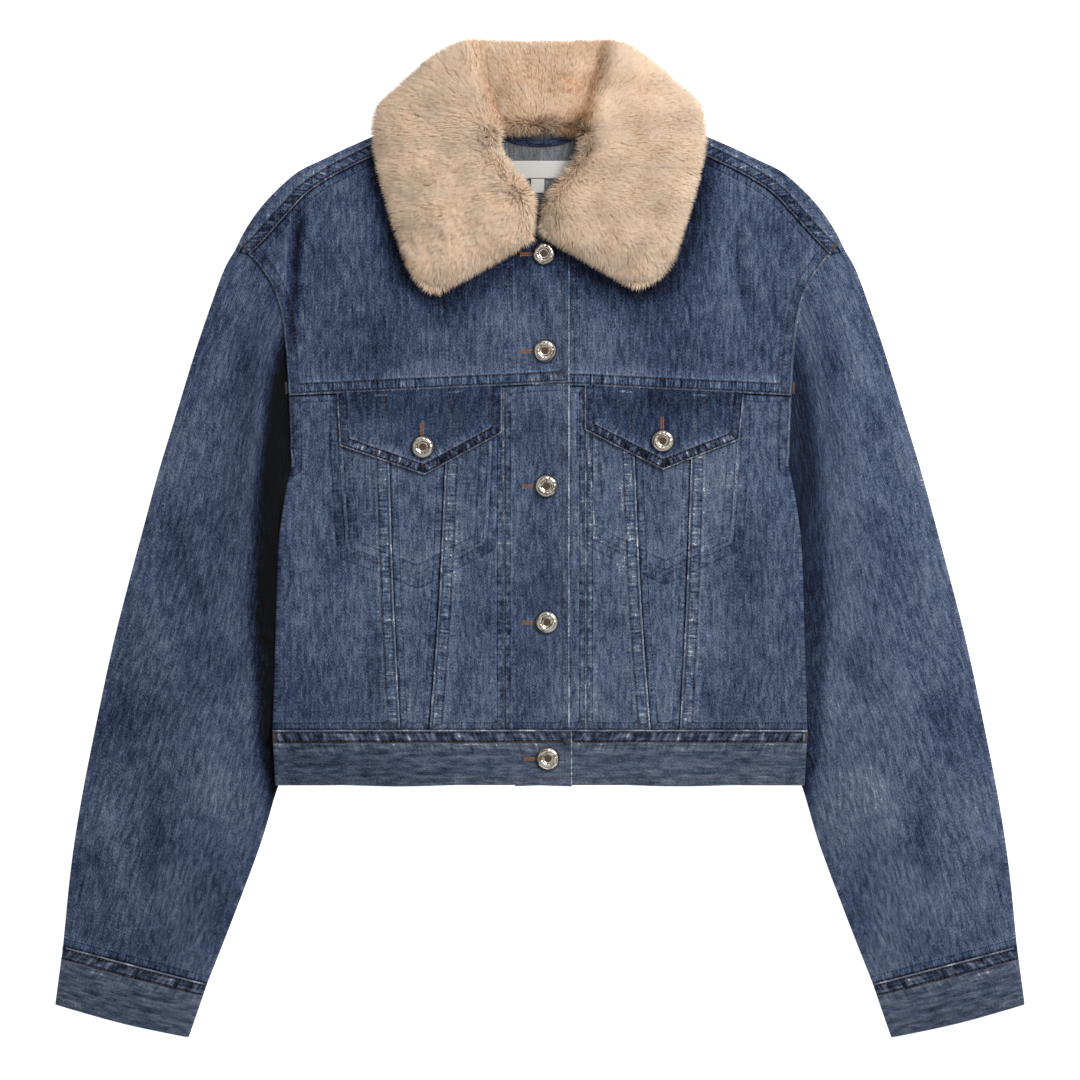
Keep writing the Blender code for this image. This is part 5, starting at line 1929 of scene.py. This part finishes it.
# %% [markdown]
# A hair is a curved blade of three triangles. Geometry Nodes scatters the hairs over the top of the
# skin, leans each one along the comb direction stored there, and pulls its tip towards the middle of
# its tuft. Every hair carries the skin's own direction, so light falls on the tufts as on a soft
# surface instead of glittering from blade to blade.

# %% Fur
HAIR_LENGTH = 9.5
HAIR_WIDTH = 0.5
LOWEST_HAIR = 0.4
HAIR_DENSITY = 3.5
TUFT_MM = 7.5
TUFT_PULL = 34.0
SWIRLS = {"Scale": 38.0, "Detail": 2.0}
# Painted shade on the fur behind the neck, deepest along the two folds where the leaves turn over.
FUR_FOLDS = (
    (table("x y", (-56, 388), (-48, 366), (-40, 344), (-32, 326)), 0.3),
    (table("x y", (56, 388), (50, 366), (42, 344), (32, 324)), 0.5),
)
FUR_FOLD_REACH = 9
BACK_SHADE = 0.16


def fur_look():
    """Peach-brown at the root and cream at the tip, browner where a patch lies open, and darkened by painted
    shade behind the neck.
    """
    look, tree, shader = new_material("cream_fake_fur")
    along = add_node(tree, "ShaderNodeAttribute", attribute_name="along").outputs["Fac"]
    own = add_node(tree, "ShaderNodeAttribute", attribute_name="own").outputs["Fac"]
    facing = add_node(tree, "ShaderNodeAttribute", attribute_name="skin_normal").outputs["Vector"]
    place = add_node(tree, "ShaderNodeTexCoord").outputs["Object"]
    patches = grain_noise(tree, place, (0.016, 0.016), 3.0, 0.6)
    specks = grain_noise(tree, place, (0.0035, 0.0035), 2.0, 0.6, seed=2.0)
    shade = add_node(tree, "ShaderNodeAttribute", attribute_name="fold_shade").outputs["Fac"]
    value = total(tree, 0.08, (along, 0.78), (own, 0.14), (patches, 0.14), (specks, 0.1), (shade, -1.0))
    ramp = add_node(tree, "ShaderNodeValToRGB", {0: value})
    stops = ramp.color_ramp.elements
    stops[0].color = linear("B4825B")
    stops[1].color = linear("FAE2C9")
    stops.new(0.3).color = linear("D8A984")
    stops.new(0.6).color = linear("F1CFB0")
    tree.links.new(ramp.outputs[0], shader.inputs["Base Color"])
    blade = add_node(tree, "ShaderNodeNewGeometry").outputs["Normal"]
    bent = add_node(tree, "ShaderNodeMix", {0: 0.9, 4: blade, 5: facing}, data_type="VECTOR")
    unit = add_node(tree, "ShaderNodeVectorMath", {0: bent.outputs[1]}, operation="NORMALIZE")
    tree.links.new(unit.outputs[0], shader.inputs["Normal"])
    shader.inputs["Roughness"].default_value = 0.7
    shader.inputs["Specular IOR Level"].default_value = 0.1
    return look


def hair_template():
    """A blade along +Z that bends towards +X, with its own share of the way from root to tip."""
    rows = ((0.0, 0.0, 1.0), (0.55, 0.07, 0.75), (1.0, 0.26, 0.0))
    corners = [(x, y * wide / 2, z) for z, x, wide in rows[:2] for y in (-1, 1)] + [(rows[2][1], 0, 1.0)]
    mesh = bpy.data.meshes.new("hair")
    mesh.from_pydata(corners, [], [(0, 1, 3, 2), (2, 3, 4)])
    along = mesh.attributes.new("along", "FLOAT", "POINT")
    along.data.foreach_set("value", [0.0, 0.0, 0.55, 0.55, 1.0])
    return bpy.data.objects.new("hair", mesh)


def fur_tree():
    tree, start, end = new_tree(
        "combed_fur",
        ("Density", "NodeSocketFloat", HAIR_DENSITY / MM**2),
        ("Length", "NodeSocketFloat", HAIR_LENGTH * MM),
        ("Width", "NodeSocketFloat", HAIR_WIDTH * MM),
        ("Tuft", "NodeSocketFloat", TUFT_MM * MM),
        ("From X", "NodeSocketFloat", -1.0),
        ("To X", "NodeSocketFloat", 1.0),
        ("Seed", "NodeSocketInt", 3),
        ("Hair", "NodeSocketObject", None),
        ("Fur", "NodeSocketMaterial", None),
    )
    normal = add_node(tree, "GeometryNodeInputNormal").outputs[0]
    up = add_node(tree, "ShaderNodeSeparateXYZ", {0: normal}).outputs[2]
    place = add_node(tree, "GeometryNodeInputPosition").outputs[0]
    x = add_node(tree, "ShaderNodeSeparateXYZ", {0: place}).outputs[0]

    def math_node(operation, *values):
        return add_node(tree, "ShaderNodeMath", dict(enumerate(values)), operation=operation).outputs[0]

    def vector(operation, *values):
        keys = (0, 3) if operation == "SCALE" else (0, 1)
        return add_node(tree, "ShaderNodeVectorMath", dict(zip(keys, values)), operation=operation).outputs[0]

    def compare(a, b):
        return add_node(tree, "FunctionNodeCompare", {0: a, 1: b}, operation="GREATER_THAN").outputs[0]

    def both(a, b):
        return add_node(tree, "FunctionNodeBooleanMath", {0: a, 1: b}).outputs[0]

    in_range = both(compare(x, start.outputs["From X"]), compare(start.outputs["To X"], x))
    inside = both(in_range, compare(up, 0.0))
    spread = add_node(
        tree,
        "GeometryNodeDistributePointsOnFaces",
        {
            "Mesh": start.outputs["Geometry"],
            "Selection": inside,
            "Density": start.outputs["Density"],
            "Seed": start.outputs["Seed"],
        },
    )
    comb = read_attribute(tree, "seam", "FLOAT_VECTOR")
    flat_comb = vector("MULTIPLY", comb, (1, 1, 0))
    in_tufts = vector("DIVIDE", place, (TUFT_MM * MM,) * 3)
    tuft = add_node(tree, "ShaderNodeTexVoronoi", {"Vector": in_tufts, "Scale": 1.0})
    centre = vector("SCALE", tuft.outputs["Position"], start.outputs["Tuft"])
    gather = vector("SCALE", vector("SUBTRACT", centre, place), TUFT_PULL)
    wave = add_node(tree, "ShaderNodeTexNoise", {"Vector": place, **SWIRLS}).outputs["Color"]
    swirl = vector("SCALE", vector("SUBTRACT", wave, (0.5, 0.5, 0.5)), 2.0)
    loose = add_node(
        tree,
        "FunctionNodeRandomValue",
        {"Min": (-0.32, -0.32, -0.25), "Max": (0.32, 0.32, 0.25), "Seed": start.outputs["Seed"]},
        data_type="FLOAT_VECTOR",
    ).outputs["Value"]
    lean = vector("SCALE", flat_comb, 0.95)
    for other in (gather, swirl, loose, vector("SCALE", spread.outputs["Normal"], 0.7)):
        lean = vector("ADD", lean, other)
    stood = add_node(tree, "FunctionNodeAlignRotationToVector", {"Vector": lean}, axis="Z")
    faced = add_node(
        tree,
        "FunctionNodeAlignRotationToVector",
        {"Rotation": stood.outputs[0], "Vector": vector("ADD", flat_comb, (0, 0, -0.8))},
        axis="X",
        pivot_axis="Z",
    )
    size = add_node(
        tree, "FunctionNodeRandomValue", {2: 0.72, 3: 1.08, "Seed": start.outputs["Seed"]}, data_type="FLOAT"
    ).outputs[1]
    tall = math_node("MULTIPLY", size, start.outputs["Length"])
    scale = add_node(tree, "ShaderNodeCombineXYZ", {0: tall, 1: start.outputs["Width"], 2: tall}).outputs[0]
    hair = add_node(tree, "GeometryNodeObjectInfo", {"Object": start.outputs["Hair"]})
    grown = add_node(
        tree,
        "GeometryNodeInstanceOnPoints",
        {
            "Points": spread.outputs[0],
            "Instance": hair.outputs["Geometry"],
            "Rotation": faced.outputs[0],
            "Scale": scale,
        },
    )
    own = add_node(tree, "FunctionNodeRandomValue", {"Seed": 5}, data_type="FLOAT").outputs[1]
    return finish_tree(tree, end, grown, "own", own, start.outputs["Fur"])


fur = fur_look()
hair = hair_template()
bpy.context.scene.collection.objects.link(hair)
fur_group = fur_tree()
FUR_PARTS = {
    "collar_fur_right": (-1.0, -0.044),
    "collar_fur_middle": (-0.044, 0.044),
    "collar_fur_left": (0.044, 1.0),
}
skin_x, skin_y = np.array([v.co[:2] for v in skin.data.vertices]).T / MM
# The fur's painted shade is worked out here and stored on the skin.
fold_shade = np.full(len(skin_x), BACK_SHADE)
for fold, depth in FUR_FOLDS:
    _, away = distance(skin_x, skin_y, points(fold))
    fold_shade += depth * np.exp(-((away / FUR_FOLD_REACH) ** 2))
fold_shade *= 1 - leaf_share(skin_x, skin_y, 12)
shade_store = skin.data.attributes.new("fold_shade", "FLOAT", "POINT")
shade_store.data.foreach_set("value", fold_shade.astype(np.float32))
skin_normals = skin.data.attributes.new("skin_normal", "FLOAT_VECTOR", "POINT")
skin_normals.data.foreach_set("vector", np.array([v.normal for v in skin.data.vertices], np.float32).ravel())
for number, (name, (first_x, last_x)) in enumerate(FUR_PARTS.items()):
    coat = skin.copy()
    bpy.context.scene.collection.objects.link(coat)
    modifier = coat.modifiers.new("Fur", "NODES")
    modifier.node_group = fur_group
    set_inputs(modifier, {"From X": first_x, "To X": last_x, "Seed": 3 + number, "Hair": hair, "Fur": fur})
    made = plain_mesh(coat, name)
    corners = np.array([v.co for v in made.data.vertices], np.float32)
    corners[:, 2] = np.maximum(corners[:, 2], LOWEST_HAIR * MM)
    made.data.vertices.foreach_set("co", corners.ravel())
    made.data.calc_loop_triangles()
    print(name, len(made.data.loop_triangles), "triangles")
bpy.data.objects.remove(hair)

# %% [markdown]
# ## What each piece stands for
# Every visible piece belongs to the one body of the jacket and stands in for one solid of the
# frame. The pocket bags and the undercollar are hidden inside, so their solids are kept and only
# given a finish.

# %% Kept solids
def plain_denim(name, colour, other, depth):
    """Denim for a solid without a map of its grain, in the jacket's own millimetres."""
    look, tree, shader = new_material(name)
    place = add_node(tree, "ShaderNodeTexCoord").outputs["Object"]
    in_mm = {0: place, 1: (1000, 1000, 1000)}
    grain = add_node(tree, "ShaderNodeVectorMath", in_mm, operation="MULTIPLY").outputs[0]
    fleck = grain_noise(tree, grain, FLECK_MM, 2.0, 0.6)
    streak = grain_noise(tree, grain, STREAK_MM, 3.0, 0.6, seed=2.0)
    value = total(tree, 0.5, (fleck, 0.3), (streak, 0.25))
    bump = add_node(tree, "ShaderNodeBump", {"Height": fleck, "Distance": depth * MM})
    tree.links.new(blend(tree, value, colour, other), shader.inputs["Base Color"])
    tree.links.new(bump.outputs[0], shader.inputs["Normal"])
    shader.inputs["Roughness"].default_value = 0.9
    return look


KEPT = {
    "undercollar": ("dark_denim", plain_denim("undercollar_denim", "182235", "323E55", 0.1)),
    "pocket_bag_right": ("denim_reverse", plain_denim("pocket_bag_denim", "50555A", "75787B", 0.1)),
}
KEPT["pocket_bag_left"] = KEPT["pocket_bag_right"]
for name, (_, look) in KEPT.items():
    node = bpy.data.objects[name]
    node.data.materials.clear()
    node.data.materials.append(look)
print("kept solids:", ", ".join(KEPT))

# %% [markdown]
# A cut's flat size is the width and length of its finished outer layer, without seam allowances.
# Both pieces of a pair share one size.

# %% Cut sizes
CUT_SIZES = {
    "front_yoke": (258, 214),
    "placket": (58, 284),
    "front_centre": (62, 282),
    "front_middle": (58, 280),
    "front_side": (112, 280),
    "waistband": (246, 46),
    "back_yoke": (500, 200),
    "back_panel": (446, 316),
    "sleeve": (345, 590),
    "cuff": (246, 48),
    "pocket_flap": (134, 74),
    "hanger_loop": (66, 12),
    "neck_label": (58.5, 14.4),
    "size_tab": (10.8, 11.4),
}
WHOLE_CUTS = {"waistband_back": (440, 46)}


for name, obj in list(pieces.items()):
    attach(obj, "root")
    if not name.endswith("_cloth"):
        continue
    node = name.removesuffix("_cloth")
    cut = node.removesuffix("_right").removesuffix("_left")
    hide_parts(node)
    width, length = WHOLE_CUTS.get(cut) or CUT_SIZES[cut]
print("cloth pieces declared:", sum(name.endswith("_cloth") for name in pieces))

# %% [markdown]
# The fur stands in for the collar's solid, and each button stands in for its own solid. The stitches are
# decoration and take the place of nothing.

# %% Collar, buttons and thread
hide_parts("collar_fur")
for name, obj in buttons.items():
    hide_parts(name)

# %% [markdown]
# The boxes of the frame's solids and of what is drawn are gathered side by side.

# %% Sizes and finish
boxes = {"cad": cad_box, "visual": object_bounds()}
{name: [list(corner) for corner in box] for name, box in boxes.items()}
print("triangles in all:", sum(len(p.vertices) - 2 for o in pieces.values() for p in o.data.polygons))
